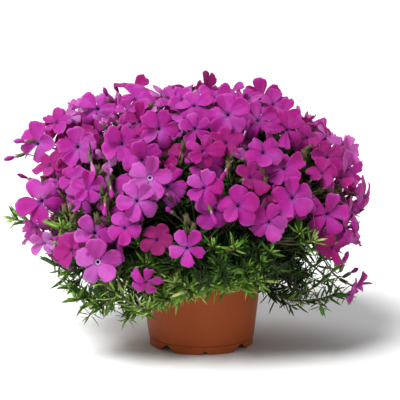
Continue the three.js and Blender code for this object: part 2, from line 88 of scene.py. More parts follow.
# (column, row, width in grid steps, spin, pan, tilt, petals, tone), the foremost first. Spin turns
# the bloom clockwise; pan turns it right and tilt turns it up, from facing the eye.
FRONT_BLOOMS = [
    (98, 262, 50, -4, -5, -5, "broad", "ringed"),
    (137, 201, 44, -25, -3, 5, "open", "plain"),
    (150, 178, 50, 16, -5, 10, "open", "ringed"),
    (167, 186, 46, 25, 0, 5, "narrow", "plain"),
    (228, 115, 48, -5, 5, 15, "broad", "plain"),
    (287, 130, 44, -15, 10, 10, "star", "plain"),
    (292, 198, 46, -5, 10, 5, "broad", "plain"),
    (98, 109, 46, 20, -15, 15, "broad", "plain"),
    (78, 147, 43, -10, -10, 5, "broad", "plain"),
    (42, 201, 50, 35, -20, 0, "broad", "plain"),
    (95, 233, 46, 33, -5, 5, "open", "plain"),
    (122, 144, 44, 30, 0, 5, "broad", "plain"),
    (159, 129, 44, 20, 5, 10, "open", "plain"),
    (195, 129, 38, -5, 5, 5, "narrow", "plain"),
    (204, 188, 42, 15, 5, 15, "open", "plain"),
    (238, 206, 46, 0, 5, 10, "broad", "plain"),
    (284, 169, 44, 0, 5, 25, "broad", "plain"),
    (327, 214, 44, 12, 10, -5, "narrow", "plain"),
    (187, 248, 42, 36, 0, -5, "narrow", "plain"),
    (146, 282, 36, 10, -5, -30, "narrow", "plain"),
    (269, 222, 42, 15, 0, -10, "broad", "plain"),
    (142, 160, 44, 50, 5, 5, "broad", "plain"),
    (88, 188, 38, 0, -5, 10, "narrow", "plain"),
    (125, 228, 38, 35, -5, 15, "open", "plain"),
    (258, 121, 40, -5, 15, 25, "narrow", "plain"),
    (263, 153, 42, -34, 5, 20, "open", "plain"),
    (250, 178, 40, 20, 35, 10, "open", "deep"),
    (203, 152, 40, 20, 20, 10, "open", "deep"),
    (153, 144, 42, 40, 5, -5, "broad", "deep"),
    (279, 206, 42, 12, 0, 15, "broad", "deep"),
    (72, 250, 38, -40, -35, 5, "broad", "deep"),
    (37, 227, 36, -10, -40, -10, "broad", "pale"),
    (38, 144, 44, 10, -35, 10, "broad", "plain"),
    (57, 123, 34, 0, -20, 40, "broad", "plain"),
    (50, 166, 38, 30, -20, 40, "broad", "deep"),
    (135, 100, 44, 0, -5, 45, "broad", "plain"),
    (162, 97, 34, 0, 40, 40, "broad", "pale"),
    (194, 106, 44, 0, 0, 35, "broad", "plain"),
    (263, 97, 42, -10, 5, 20, "open", "plain"),
    (327, 158, 42, -10, 20, 10, "broad", "deep"),
    (343, 153, 36, 20, 40, 15, "broad", "pale"),
    (347, 170, 40, 10, 45, 0, "open", "plain"),
    (364, 196, 46, 0, 55, -5, "open", "plain"),
    (332, 247, 36, 0, -10, -40, "open", "deep"),
    (353, 236, 38, 60, 78, -35, "narrow", "plain"),
    (205, 88, 34, -15, 50, 15, "narrow", "plain"),
    (133, 88, 40, 0, 20, 60, "open", "deep"),
    (326, 137, 34, 0, 60, 30, "open", "pale"),
    (316, 128, 34, 0, 30, 50, "open", "deep"),
    (184, 113, 36, 10, 0, 35, "broad", "plain"),
    (157, 240, 36, 35, 0, 10, "broad", "dark"),
    (226, 143, 38, 0, 0, 30, "open", "deep"),
    (285, 114, 36, 20, 5, 45, "open", "plain"),
    (140, 122, 38, 0, 0, 20, "open", "deep"),
    (127, 112, 28, 0, -10, 20, "narrow", "plain"),
    (175, 101, 38, 30, 0, 50, "broad", "plain"),
    (215, 98, 38, 0, 0, 50, "broad", "plain"),
    (230, 93, 32, 10, 10, 60, "open", "plain"),
    (322, 174, 36, 0, 0, 40, "broad", "deep"),
    (340, 179, 40, 0, 40, 60, "open", "deep"),
    (349, 212, 36, 0, 80, -10, "open", "deep"),
    (74, 180, 34, 40, -10, 10, "broad", "plain"),
    (82, 200, 36, 10, -5, 20, "open", "plain"),
    (68, 118, 30, 20, -10, 50, "broad", "pale"),
    (80, 108, 28, 0, -20, 60, "broad", "pale"),
    (90, 103, 30, 0, 0, 60, "open", "pale"),
    (355, 287, 36, 10, 75, -25, "narrow", "plain"),
    (60, 130, 34, 20, -20, 10, "broad", "deep"),
    (80, 126, 34, 0, 0, 20, "broad", "deep"),
    (307, 138, 34, 0, 10, 30, "broad", "deep"),
    (345, 162, 34, 0, 50, 10, "broad", "deep"),
    (45, 243, 28, 20, -30, -20, "open", "pale"),
    (273, 105, 36, 10, 10, 40, "broad", "plain"),
    (248, 99, 34, 0, 0, 50, "broad", "plain"),
]
PETAL_HALF_ANGLES = {"broad": 41, "open": 37, "narrow": 32, "star": 26}
# Painted shade: the deep blooms are partly, and the dark ones wholly, petals painted as if in shadow; the
# pale ones are partly painted light.
TONES = {  # the least and the greatest tint
    "dark": (-0.4, -0.3),
    "deep": (0.0, 0.16),
    "plain": (0.45, 0.72),
    "pale": (0.8, 0.88),
    "ringed": (1.0, 1.0),
}
# A bloom that meets one before it is moved back in steps.
SETTLE_STEP = 2
SETTLE_LIMIT = 10
LIMB_CLEARANCE = 4.5
LIMB_SHARE = 0.82  # how much of two blooms' radii has to be clear

FRONT_BUDS = [  # (column, row, pan, tilt)
    (14, 157, -85, -15), (24, 141, -80, 0), (105, 207, -10, -70), (111, 190, 20, -60),
    (212, 214, 30, -50), (60, 237, -60, -20), (344, 262, 40, 60), (225, 172, -40, -50),
    (92, 165, 30, -60), (118, 92, -50, 60), (180, 104, 0, 70), (108, 172, -30, 30), (28, 212, -80, 15),
    (240, 158, -30, 20), (352, 272, 70, 30), (107, 96, -40, 60), (27, 178, -60, 20),
]
# Where calyxes that have dropped their flowers show between the blooms.
SPENT = [  # (column, row, pan, tilt)
    (97, 166, -60, 50), (105, 168, 50, 40), (110, 178, 30, 60), (101, 186, -30, 60), (107, 198, 20, 70),
    (96, 214, -40, 50), (137, 109, -70, 20), (150, 104, -60, 30), (179, 90, 10, 70),
    (189, 158, -60, -30), (184, 142, 30, 60), (234, 153, 50, 50), (228, 160, 10, 70),
    (221, 184, -20, 50), (262, 168, -30, 60), (266, 176, 20, 60), (311, 146, 60, 30),
    (318, 152, 50, -20), (332, 184, 60, 40), (341, 188, 50, -10), (323, 178, 20, 60),
    (304, 150, -20, 60), (194, 224, 30, 60), (186, 216, -40, 50), (120, 110, -60, 40),
    (30, 190, -70, 20), (44, 176, -50, 30), (340, 206, 60, 40), (64, 204, -40, 60), (72, 203, 30, 60),
    (76, 214, 40, 30),
]
SPENT_TRIO = ((0, 0, 0), (50, 25, 4), (-45, 30, 6))  # (pan, tilt, further back) of three together
SPENT_DEPTH = 2

# Circles, as (column, row, radius).
LEAFY_FRONT = [  # where only leaves show, below the front blooms
    (305, 245, 22), (220, 250, 40), (262, 262, 26), (330, 280, 40), (150, 256, 26), (120, 290, 40),
]
HOLLOWS = LEAFY_FRONT + [  # and where the inside shows between the front blooms
    (103, 152, 11), (110, 180, 8), (100, 215, 9), (190, 222, 14), (240, 155, 7), (304, 151, 8),
    (325, 187, 7), (185, 140, 6), (170, 162, 7), (38, 195, 5), (63, 222, 14),
]
SKY_GAPS = [(286, 109, 5), (166, 95, 5)]  # where no bloom behind stands out above the front ones
CLEARINGS = [  # where no side shoot is seen, below the blooms
    (306, 252, 7), (326, 271, 10), (337, 288, 10), (352, 264, 15), (366, 236, 15), (374, 262, 20),
    (366, 296, 24), (345, 314, 16), (38, 268, 12), (40, 292, 20), (52, 316, 16),
]

# Blooms all round the dome. "Under" is the layer inside the front blooms.
SPIRAL = {
    "count": 190,
    "lowest": -0.3,
    "most_facing": 0.12,
    "layers": (1, 0.97, 0.94),
    "under": 0.9,
    "radii": (14.4, 16, 17.6, 15.2, 16.8),
    "rises": (-30, 10, -10, 30),
    "lean": 0.3,
    "under_lean": 0.45,
    "step_in": 3,
    "tries": 3,
    "petals": ("broad", "open", "broad", "narrow"),
    "tones": ("plain", "deep", "plain", "plain", "pale"),
}
SPARE_BUDS = {"count": 3, "spread": (0.15, 0.03), "share": (0.93, 0.01), "rise": 20, "lean": 0.4}
SEEDS = {"spiral": 500, "buds": 900, "stems": 50, "trails": 500, "soil": 7}

# Shoots that trail over the rim: (degrees from the front towards +X, reach, height of the tip).
TRAILING_SHOOTS = [
    (-14, 63, 48), (18, 60, 55), (55, 84, 42), (86, 108, 34), (126, 92, 44), (162, 84, 50),
    (198, 86, 48), (234, 88, 46), (270, 100, 42), (300, 92, 30), (316, 76, 30),
]
UNDERGROWTH = range(-75, 80, 6)  # degrees from the front
SHOOT_START = {"radius": 13, "height": 64}  # where shoots for the rim leave the crown
OVER_RIM = 73  # the least height at which they cross it
RIM_CLEARANCE = 4
# Painted shade and painted light: leaves on the right, away from the key light, are darker, and those on
# the left lighter.
RIGHT_DARKER = 0.35  # how much darker the leaves of the shaded side are
LEFT_LIGHTER = 0.08
LOWEST_TWIG = 40  # side shoots turn up below this height
TWIGS = 24  # leafy side shoots on a flowering stem
TWIG_LEAST = 16  # the shortest of them
# How far out to the dome they may reach, on the stems that lean out and on the steep ones.
TWIG_REACH = {"leaning": 0.96, "steep": 0.90}
STEEP = 0.5  # a stem is steep when it rises more than this share of its length

# Shoots that show in front, each as the (column, row, depth) points that it passes outside the rim,
# and how light its leaves are. Depth is in front of the pot's axis.
# The low lightness of the shoots on the right and deep inside is painted shade.
SPRIGS = [
    ([(168, 284, 62), (152, 309, 70), (126, 300, 82), (101, 279, 86)], 1.1),
    ([(204, 272, 70), (197, 283, 72), (202, 292, 70)], 1.15),
    ([(262, 282, 40), (288, 300, 56), (318, 299, 60), (335, 294, 50)], 0.4),
    ([(246, 276, 62), (252, 282, 64), (264, 279, 58)], 1.0),
    ([(230, 278, 68), (234, 286, 70), (247, 283, 68)], 0.9),
    ([(212, 280, 70), (216, 289, 72), (231, 287, 71)], 0.95),
    ([(186, 280, 70), (182, 291, 72), (196, 293, 73)], 1.1),
    ([(186, 284, 68), (180, 293, 70), (168, 296, 66)], 1.05),
    ([(166, 286, 62), (164, 299, 64), (154, 303, 60)], 0.9),
    ([(258, 276, 44), (268, 290, 48), (286, 297, 48)], 0.35),
    ([(260, 270, 30), (280, 284, 28), (302, 291, 26)], 0.3),
    ([(262, 262, 20), (284, 272, 10), (304, 279, 2)], 0.3),
    ([(260, 280, 16), (272, 296, 12), (292, 306, 12)], 0.35),
    ([(146, 284, 40), (128, 296, 42), (108, 303, 42)], 0.45),
    ([(146, 276, 20), (120, 286, 20), (98, 290, 20)], 0.4),
    ([(84, 276, 60), (72, 290, 62)], 0.45),
    ([(112, 296, 64), (96, 308, 64)], 0.5),
]
SPRIG_LEAVES = (15, 12.5)  # the length of the first one's leaves, and of the others'
# Side shoots that start where a sprig passes.
SIDE_SPRIGS = [
    ([(288, 300, 56), (308, 291, 57), (326, 277, 54), (341, 263, 50)], 0.7),
    ([(126, 299, 84), (112, 301, 78), (98, 309, 70)], 0.6),
    ([(318, 299, 60), (322, 309, 58)], 0.55),
]
# Bright tufts between the blooms and the rim: (column, row, depth, pan, tilt, lightness).
TUFTS = [
    (235, 248, 106, 10, 25, 0.72), (213, 246, 106, -20, 30, 0.6), (222, 269, 98, -10, 10, 0.7),
    (262, 262, 92, 30, 10, 0.65), (248, 268, 94, 10, 30, 0.6), (145, 264, 94, -15, 25, 0.75),
    (172, 262, 96, 0, 30, 0.6), (205, 284, 84, 0, 10, 0.7), (313, 240, 80, 30, 30, 1.0),
    (322, 236, 66, 40, 20, 0.8), (138, 243, 98, -10, 30, 0.55), (188, 290, 82, 20, -10, 1.0),
    (200, 291, 82, 30, 30, 0.95), (176, 283, 82, -20, 30, 0.95), (163, 300, 74, -20, -10, 0.75),
    (152, 304, 74, -30, -10, 0.8), (258, 279, 76, 30, 20, 0.88), (246, 283, 78, 20, 0, 0.75),
    (231, 285, 80, 30, 20, 0.75), (215, 286, 82, 10, 20, 0.8), (300, 232, 88, 0, 30, 0.7),
    (270, 252, 98, 20, 10, 0.7), (326, 250, 66, 40, -10, 0.8), (13, 220, 12, -75, 5, 0.85),
    (66, 272, 56, -60, -10, 0.5), (61, 228, 62, -30, 20, 0.9), (70, 219, 60, 0, 30, 0.5),
]
HIGH_TUFT = 85  # a tuft above this height grows from a flowering stem
FRONT_COSINE = 0.4  # shoots are in front where the cosine of their azimuth is more

POT_SEGMENTS = 240
POT_SHARP = 35  # degrees; sharper edges of the pot aren't smoothed
SOIL_RINGS = 26
SOIL_SIDES = 96
SOIL_GAP = {"floor": 0.3, "wall": 0.4}  # between the soil and the pot
SOIL_LUMPS = ((0.25, 0.9), (0.8, 0.6))  # (lumps to the millimetre, height)
CRUMBS = 420
CRUMB_SIZES = (0.5, 1.5)
CROWN_SIDES = 40
CROWN_KNOTS = {"scale": 0.35, "size": 0.07}
COLLAR_FOOT = 61.4
CROWN_OUTLINE = [  # (radius, height), from the tap root's tip up
    (0.5, 32), (3.5, 34), (6, 44), (7, 58), (7, COLLAR_FOOT), (12.8, COLLAR_FOOT), (13.6, 63),
    (13.4, 65.5), (12.4, 68.5), (10.2, 71.5), (7, 74), (3.4, 75.6), (0.5, 76),
]

# ---- the studio --------------------------------------------------------------------------------
LIGHTS = [  # (name, degrees from the front, degrees above level, energy, angle)
    ("key", -36, 50, 4.4, 26),
    ("fill", 55, 35, 0.3, 60),
    ("back", -150, 45, 1.3, 40),
]
SKY_GREYS = ((0.14, 0.97), (0.3, 0.13))  # (height, grey)
FLOOR_SIZE = 90  # metres
SENSOR = 36  # millimetres


# ---- mesh building ---------------------------------------------------------------------------
class Shape:
    """Collects the points and faces of one piece, in millimetres, with three numbers at each point:
    along (0 at a petal's or leaf's base, 1 at its tip), across (-1 to 1) and tint (0 dark to 1 light)."""

    def __init__(self):
        self.points = []
        self.faces = []
        self.materials = []
        self.smooth = []
        self.numbers = {"along": [], "across": [], "tint": []}

    def add(self, points, faces, material=0, along=0.0, across=0.0, tint=0.5, smooth=True):
        base = len(self.points)
        self.points += points
        self.faces += [tuple(base + k for k in face) for face in faces]
        self.materials += [material] * len(faces)
        self.smooth += smooth if isinstance(smooth, list) else [smooth] * len(faces)
        for name, value in (("along", along), ("across", across), ("tint", tint)):
            self.numbers[name] += value if isinstance(value, list) else [value] * len(points)

    def piece(self, name, materials, node=None):
        mesh = bpy.data.meshes.new(name)
        mesh.from_pydata([tuple(c * MM for c in point) for point in self.points], [], self.faces)
        mesh.polygons.foreach_set("material_index", self.materials)
        mesh.polygons.foreach_set("use_smooth", self.smooth)
        for number, values in self.numbers.items():
            mesh.attributes.new(number, "FLOAT", "POINT").data.foreach_set("value", values)
        for material in materials:
            mesh.materials.append(material)
        mesh.update()
        made = bpy.data.objects.new(name, mesh)
        bpy.context.collection.objects.link(made)
        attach(made, "root")
        if node:
            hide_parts(node)
        return made


def direction(azimuth, elevation=0.0):
    """The direction at an azimuth from the front (towards +X) and an angle above level, in radians."""
    level = math.cos(elevation)
    return Vector((math.sin(azimuth) * level, -math.cos(azimuth) * level, math.sin(elevation)))


def square_to(way):
    """Two directions square to the given one and to each other."""
    helper = UP if abs(way.z) < 0.9 else Vector((1, 0, 0))
    first = helper.cross(way).normalized()
    return first, way.cross(first)


def beside(way, turn):
    """The direction square to way that is turned round it by an angle."""
    one, two = square_to(way)
    return one * math.cos(turn) + two * math.sin(turn)


def any_way(rng):
    """A vector of no fixed direction, up to 1 along each axis."""
    return Vector((rng.uniform(-1, 1), rng.uniform(-1, 1), rng.uniform(-1, 1)))


def clamped(number):
    """A number, held between 0 and 1."""
    return min(1.0, max(0.0, number))


def tube_faces(rings, sides):
    """The faces of a closed tube whose points come ring by ring."""
    faces = [
        (i * sides + k, i * sides + (k + 1) % sides, (i + 1) * sides + (k + 1) % sides, (i + 1) * sides + k)
        for i in range(rings - 1)
        for k in range(sides)
    ]
    last = (rings - 1) * sides
    return faces + [tuple(range(sides))[::-1], tuple(last + k for k in range(sides))]


def add_tube(shape, path, radii, sides, material, tint):
    """A closed round tube along the path, as wide as given at each of its points."""
    across = square_to((path[1] - path[0]).normalized())[0]
    points = []
    for i, point in enumerate(path):
        way = (path[min(i + 1, len(path) - 1)] - path[max(i - 1, 0)]).normalized()
        across = (across - way * across.dot(way)).normalized()
        other = way.cross(across)
        for k in range(sides):
            turn = 2 * math.pi * k / sides
            points.append(point + (across * math.cos(turn) + other * math.sin(turn)) * radii[i])
    along = [i / (len(path) - 1) for i in range(len(path)) for _ in range(sides)]
    shape.add(points, tube_faces(len(path), sides), material, along, 0.0, tint)


def curve_points(start, start_way, end, end_way, steps):
    """Points on a smooth curve that leaves start along start_way and reaches end along end_way."""
    points = []
    for i in range(steps + 1):
        t = i / steps
        a = (1 - t) ** 2 * (1 + 2 * t)
        b = t**2 * (3 - 2 * t)
        points.append(start * a + end * b + start_way * (t * (1 - t) ** 2) - end_way * (t**2 * (1 - t)))
    return points


def growing(start, way, length, steps, rise, wander, rng):
    """A shoot's path: it grows along way, turning up by rise and wandering a little."""
    points = [start.copy()]
    way = way.normalized()
    for _ in range(steps):
        way = (way + UP * rise + any_way(rng) * wander).normalized()
        if points[-1].z < LOWEST_TWIG:
            way.z = max(way.z, 0.15)
            way.normalize()
        points.append(points[-1] + way * (length / steps))
    return points


# ---- where the blooms and stems are ----------------------------------------------------------
crown_centre = UP * CROWN["z"]
forward = Vector((0, math.cos(EYE_PITCH), -math.sin(EYE_PITCH)))
rightward = Vector((1, 0, 0))
upward = rightward.cross(forward)
eye = AIM - forward * EYE_DISTANCE


def per_radius(vector):
    return Vector(part / radius for part, radius in zip(vector, DOME_RADII))


def line_of_sight(column, row):
    sideways = rightward * (column - GRID_MIDDLE) * GRID_STEP
    return (AIM + sideways + upward * (GRID_MIDDLE - row) * GRID_STEP - eye).normalized()


def at_depth(column, row, depth):
    """The point seen at a grid point that lies this far in front of the pot's axis."""
    sight = line_of_sight(column, row)
    return eye - sight * ((depth + eye.y) / sight.y)


def dome_distance(start, way, side):
    """How far it is from start along way to the dome's near side (-1) or far side (1), or to where
    the line passes closest to it."""
    start = per_radius(start - DOME_CENTRE)
    slope = per_radius(way)
    a = slope.dot(slope)
    b = start.dot(slope)
    return (-b + side * math.sqrt(max(b * b - a * (start.dot(start) - 1), 0))) / a


def on_dome(column, row):
    """Where the line of sight through a grid point meets the front of the dome, and that line."""
    sight = line_of_sight(column, row)
    return eye + sight * dome_distance(eye, sight, -1), sight


def facing(sight, pan, tilt):
    """The direction that faces the eye, turned right by pan and then up by tilt, in degrees."""
    to_eye = -sight
    right = Vector((-to_eye.y, to_eye.x, 0)).normalized()
    above = to_eye.cross(right)
    pan, tilt = math.radians(pan), math.radians(tilt)
    level = to_eye * math.cos(pan) * math.cos(tilt) + right * math.sin(pan) * math.cos(tilt)
    return (level + above * math.sin(tilt)).normalized()


def seen_in(point, circles):
    """Whether a point is seen from the camera in one of the circles."""
    seen = point - eye
    scale = EYE_DISTANCE / seen.dot(forward) / GRID_STEP
    column = GRID_MIDDLE + seen.dot(rightward) * scale
    row = GRID_MIDDLE - seen.dot(upward) * scale
    return any(math.hypot(column - u, row - v) < radius for u, v, radius in circles)


def meets(one, other):
    reach = LIMB_SHARE * (one["radius"] + other["radius"])
    apart = one["centre"] - other["centre"]
    if apart.length > reach:
        return False
    behind = abs(apart.dot(other["normal"]))
    return behind < LIMB_CLEARANCE and math.sqrt(max(apart.length_squared - behind**2, 0)) < reach


def front_blooms():
    placed = []
    for column, row, width, spin, pan, tilt, petals, tone in FRONT_BLOOMS:
        centre, sight = on_dome(column, row)
        bloom = {
            "centre": centre,
            "radius": width * GRID_STEP * (centre - eye).length / EYE_DISTANCE / 2,
            "spin": math.radians(spin),
            "normal": facing(sight, pan, tilt),
            "seed": len(placed),
            "petals": petals,
            "tone": tone,
        }
        for _ in range(SETTLE_LIMIT):
            if not any(meets(bloom, other) for other in placed):
                break
            bloom["centre"] = bloom["centre"] + sight * SETTLE_STEP
        placed.append(bloom)
    return placed


def other_blooms(placed):
    """Blooms all round the dome on a spiral: on its surface behind, and under the front ones in front."""
    blooms = list(placed)
    for index in range(SPIRAL["count"]):
        height = 1 - (1 - SPIRAL["lowest"]) * (index + 0.5) / SPIRAL["count"]
        azimuth = index * GOLDEN_ANGLE
        outward = direction(azimuth) * math.sqrt(1 - height * height)
        outward.z = height
        normal = per_radius(outward).normalized()
        in_front = -normal.dot(forward) > SPIRAL["most_facing"]
        share = SPIRAL["under"] if in_front else SPIRAL["layers"][index % 3]
        centre = Vector(part * radius * share for part, radius in zip(outward, DOME_RADII)) + DOME_CENTRE
        if seen_in(centre, HOLLOWS if in_front else SKY_GAPS):
            continue
        lean = direction(azimuth * 3, math.radians(SPIRAL["rises"][index % 4]))
        lean *= SPIRAL["under_lean"] if in_front else SPIRAL["lean"]
        bloom = {
            "centre": centre,
            "radius": SPIRAL["radii"][index % 5],
            "spin": azimuth % math.radians(72),
            "normal": (normal + lean).normalized(),
            "seed": SEEDS["spiral"] + index,
            "petals": SPIRAL["petals"][index % 4],
            "tone": SPIRAL["tones"][index * 3 % 5],
        }
        for _ in range(SPIRAL["tries"]):
            if not any(meets(bloom, other) for other in blooms):
                blooms.append(bloom)
                break
            bloom["centre"] = bloom["centre"] - normal * SPIRAL["step_in"]
    return blooms


def buds_of(stem):
    """The buds of a stem: where each one's petals start, and which way it points."""
    buds = []
    for column, row, pan, tilt in FRONT_BUDS:
        base, sight = on_dome(column, row)
        if nearest_stem(base) == stem:
            buds.append((base, facing(sight, pan, tilt)))
    for k in range(SPARE_BUDS["count"]):
        turn = GOLDEN_ANGLE * (k + stem * 3)
        least, step = SPARE_BUDS["spread"]
        spread = least + step * ((stem * 7 + k * 3) % 6)
        out = (stem_ways[stem] + beside(stem_ways[stem], turn) * spread).normalized()
        least, step = SPARE_BUDS["share"]
        share = least + step * ((stem + k * 2) % 6)
        base = crown_centre + out * (dome_distance(crown_centre, out, 1) * share)
        if base.dot(forward) < 0 and seen_in(base, LEAFY_FRONT):
            continue
        lean = direction(turn * 2, math.radians(SPARE_BUDS["rise"])) * SPARE_BUDS["lean"]
        buds.append((base, (out + lean).normalized()))
    return buds


def spent_of(stem):
    """The calyxes of a stem that show without their flowers: where each one opens, and which way."""
    spent = []
    for column, row, pan, tilt in SPENT:
        centre, sight = on_dome(column, row)
        if nearest_stem(centre) == stem:
            for turn, lean, back in SPENT_TRIO:
                way = facing(sight, pan + turn, tilt + lean)
                spent.append((centre + sight * (SPENT_DEPTH + back) + way * TUBE_LENGTH / 2, way))
    return spent


stem_ways = [
    direction(2 * math.pi * (index + ring / 2) / count, math.radians(elevation))
    for ring, (elevation, count) in enumerate(STEM_RINGS)
    for index in range(count)
]
hubs = [crown_centre + way * dome_distance(crown_centre, way, 1) * HUB_SHARE for way in stem_ways]


def nearest_stem(point):
    way = (point - crown_centre).normalized()
    return max(range(len(stem_ways)), key=lambda stem: stem_ways[stem].dot(way))


# ---- materials -------------------------------------------------------------------------------
class Look:
    """A procedural material that is being put together. Its methods give the sockets they make."""

    def __init__(self, name, **constants):
        self.material = bpy.data.materials.new(name)
        self.material.use_nodes = True
        self.tree = self.material.node_tree
        self.shader = self.tree.nodes["Principled BSDF"]
        for socket, value in constants.items():
            self.shader.inputs[socket.replace("_", " ")].default_value = value

    def feed(self, socket, value):
        if isinstance(value, bpy.types.NodeSocket):
            self.tree.links.new(value, socket)
        else:
            socket.default_value = value

    def node(self, kind, **inputs):
        made = self.tree.nodes.new("ShaderNode" + kind)
        for name, value in inputs.items():
            self.feed(made.inputs[name.replace("_", " ")], value)
        return made

    def attribute(self, name):
        made = self.node("Attribute")
        made.attribute_name = name
        return made.outputs["Fac"]

    def place(self):
        """Where a point is, in metres."""
        return self.node("TexCoord").outputs["Object"]

    def noise(self, scale, detail=2.0, upwards=1.0, **inputs):
        """A cloudy pattern with about scale features to the metre, and upwards times that in height."""
        place = inputs.pop("Vector", None)
        if place is None:
            place = self.place()
        if upwards != 1:
            place = self.node("Mapping", Vector=place, Scale=(1, 1, upwards)).outputs[0]
        return self.node("TexNoise", Vector=place, Scale=scale, Detail=detail, **inputs).outputs["Fac"]

    def spread(self, value, start, end, low=0.0, high=1.0):
        """Low at start and high at end."""
        made = self.node("MapRange", Value=value, From_Min=start, From_Max=end, To_Min=low, To_Max=high)
        return made.outputs[0]

    def ramp(self, factor, stops):
        """A colour, or a grey where one number is given, from (position, colour) stops."""
        made = self.node("ValToRGB", Fac=factor)
        elements = made.color_ramp.elements
        while len(elements) < len(stops):
            elements.new(0.5)
        for element, (position, colour) in zip(elements, stops):
            element.position = position
            element.color = (*colour, 1) if isinstance(colour, tuple) else (colour, colour, colour, 1)
        return made.outputs["Color"]

    def mix(self, factor, first, second, blend="MIX"):
        made = self.node("Mix")
        made.data_type = "RGBA"
        made.blend_type = blend
        for index, value in ((0, factor), (6, first), (7, second)):
            self.feed(made.inputs[index], (*value, 1) if isinstance(value, tuple) else value)
        return made.outputs[2]

    def times(self, body, colour):
        return self.mix(1.0, body, colour, "MULTIPLY")

    def tinted(self, factor, body, colour):
        """The body, multiplied by a colour where the factor is 1."""
        return self.mix(factor, body, self.times(body, colour))

    def shaded(self, body, value):
        """The body, multiplied by a number."""
        return self.times(body, self.node("CombineColor", Red=value, Green=value, Blue=value).outputs[0])

    def maths(self, operation, first, second=0.0):
        made = self.node("Math")
        made.operation = operation
        self.feed(made.inputs[0], first)
        self.feed(made.inputs[1], second)
        return made.outputs[0]

    def finish(self, colour, height=None, strength=0.5, depth=0.0):
        """The material, with its colour, and with bumps as deep as given, in metres."""
        self.feed(self.shader.inputs["Base Color"], colour)
        if height is not None:
            bump = self.node("Bump", Strength=strength, Distance=depth, Height=height)
            self.feed(self.shader.inputs["Normal"], bump.outputs[0])
        return self.material


# Colours are linear red, green and blue. A ramp holds (position, colour) stops.
PETAL = {
    "throat_to_edge": [
        (0.0, (0.12, 0.004, 0.10)),
        (0.03, (0.22, 0.012, 0.19)),
        (0.10, (0.35, 0.036, 0.34)),
        (0.20, (0.355, 0.021, 0.285)),
        (0.35, (0.355, 0.015, 0.265)),
        (0.85, (0.35, 0.015, 0.255)),
        (1.0, (0.40, 0.036, 0.31)),
    ],
    # deep: partly the flowers' own deeper colour, partly painted shade; dark: painted shade.
    "deep": (0.76, 0.28, 0.52),
    "dark": (0.62, 0.5, 0.5),
    # redder and paler: random patches, partly painted shade and painted highlight.
    "redder": (0.86, 0.46, 0.66),
    "paler": (1.13, 3.4, 1.28),
    # pale: partly the flowers' own paler tone, partly painted light on blooms that face up or aside towards
    # the light.
    "pale": (0.56, 0.17, 0.50),
    # left: painted light; right: painted shade.
    "left": (1.02, 1.5, 1.12),
    "right": (0.86, 0.80, 0.84),
    "vein": (0.24, 0.01, 0.20),
    "dash": (0.10, 0.003, 0.10),
    "ring": (0.80, 0.52, 0.76),
}
LEAF_RAMP = [
    (0.0, (0.008, 0.019, 0.005)),
    (0.3, (0.028, 0.074, 0.011)),
    (0.6, (0.13, 0.285, 0.032)),
    (0.85, (0.36, 0.56, 0.11)),
    (1.0, (0.58, 0.66, 0.27)),
]
LEAF_BASE_TO_TIP = [(0.0, (0.72, 0.80, 0.62)), (0.3, (1, 1, 1)), (1.0, (0.92, 1.0, 0.8))]
# The throat is the flower's dark eye; it is painted darker deeper into the tube, as painted shade.
THROAT_RAMP = [(0.0, (0.03, 0.001, 0.02)), (1.0, (0.11, 0.005, 0.08))]
TUBE_RAMP = [(0.0, (0.62, 0.32, 0.42)), (1.0, (0.55, 0.07, 0.40))]
TUBE_SPECKLE = (0.75, 0.45, 0.55)
CALYX_RAMP = [(0.0, (0.07, 0.07, 0.02)), (0.6, (0.14, 0.125, 0.045)), (1.0, (0.16, 0.06, 0.05))]
CALYX_PATCH = (0.035, 0.055, 0.012)
STEM_RAMP = [(0.0, (0.045, 0.032, 0.018)), (0.5, (0.13, 0.10, 0.04)), (1.0, (0.20, 0.24, 0.07))]
STEM_PATCH = (0.14, 0.09, 0.05)
BARK_RAMP = [(0.3, (0.030, 0.018, 0.010)), (0.55, (0.10, 0.065, 0.038)), (0.8, (0.20, 0.14, 0.09))]
SOIL_RAMP = [(0.3, (0.008, 0.005, 0.003)), (0.55, (0.030, 0.019, 0.011)), (0.75, (0.085, 0.055, 0.034))]
POT_RAMP = [(0.35, (0.288, 0.056, 0.012)), (0.65, (0.338, 0.068, 0.014))]
FLOOR_RAMP = [(0.3, 0.84), (0.7, 0.86)]


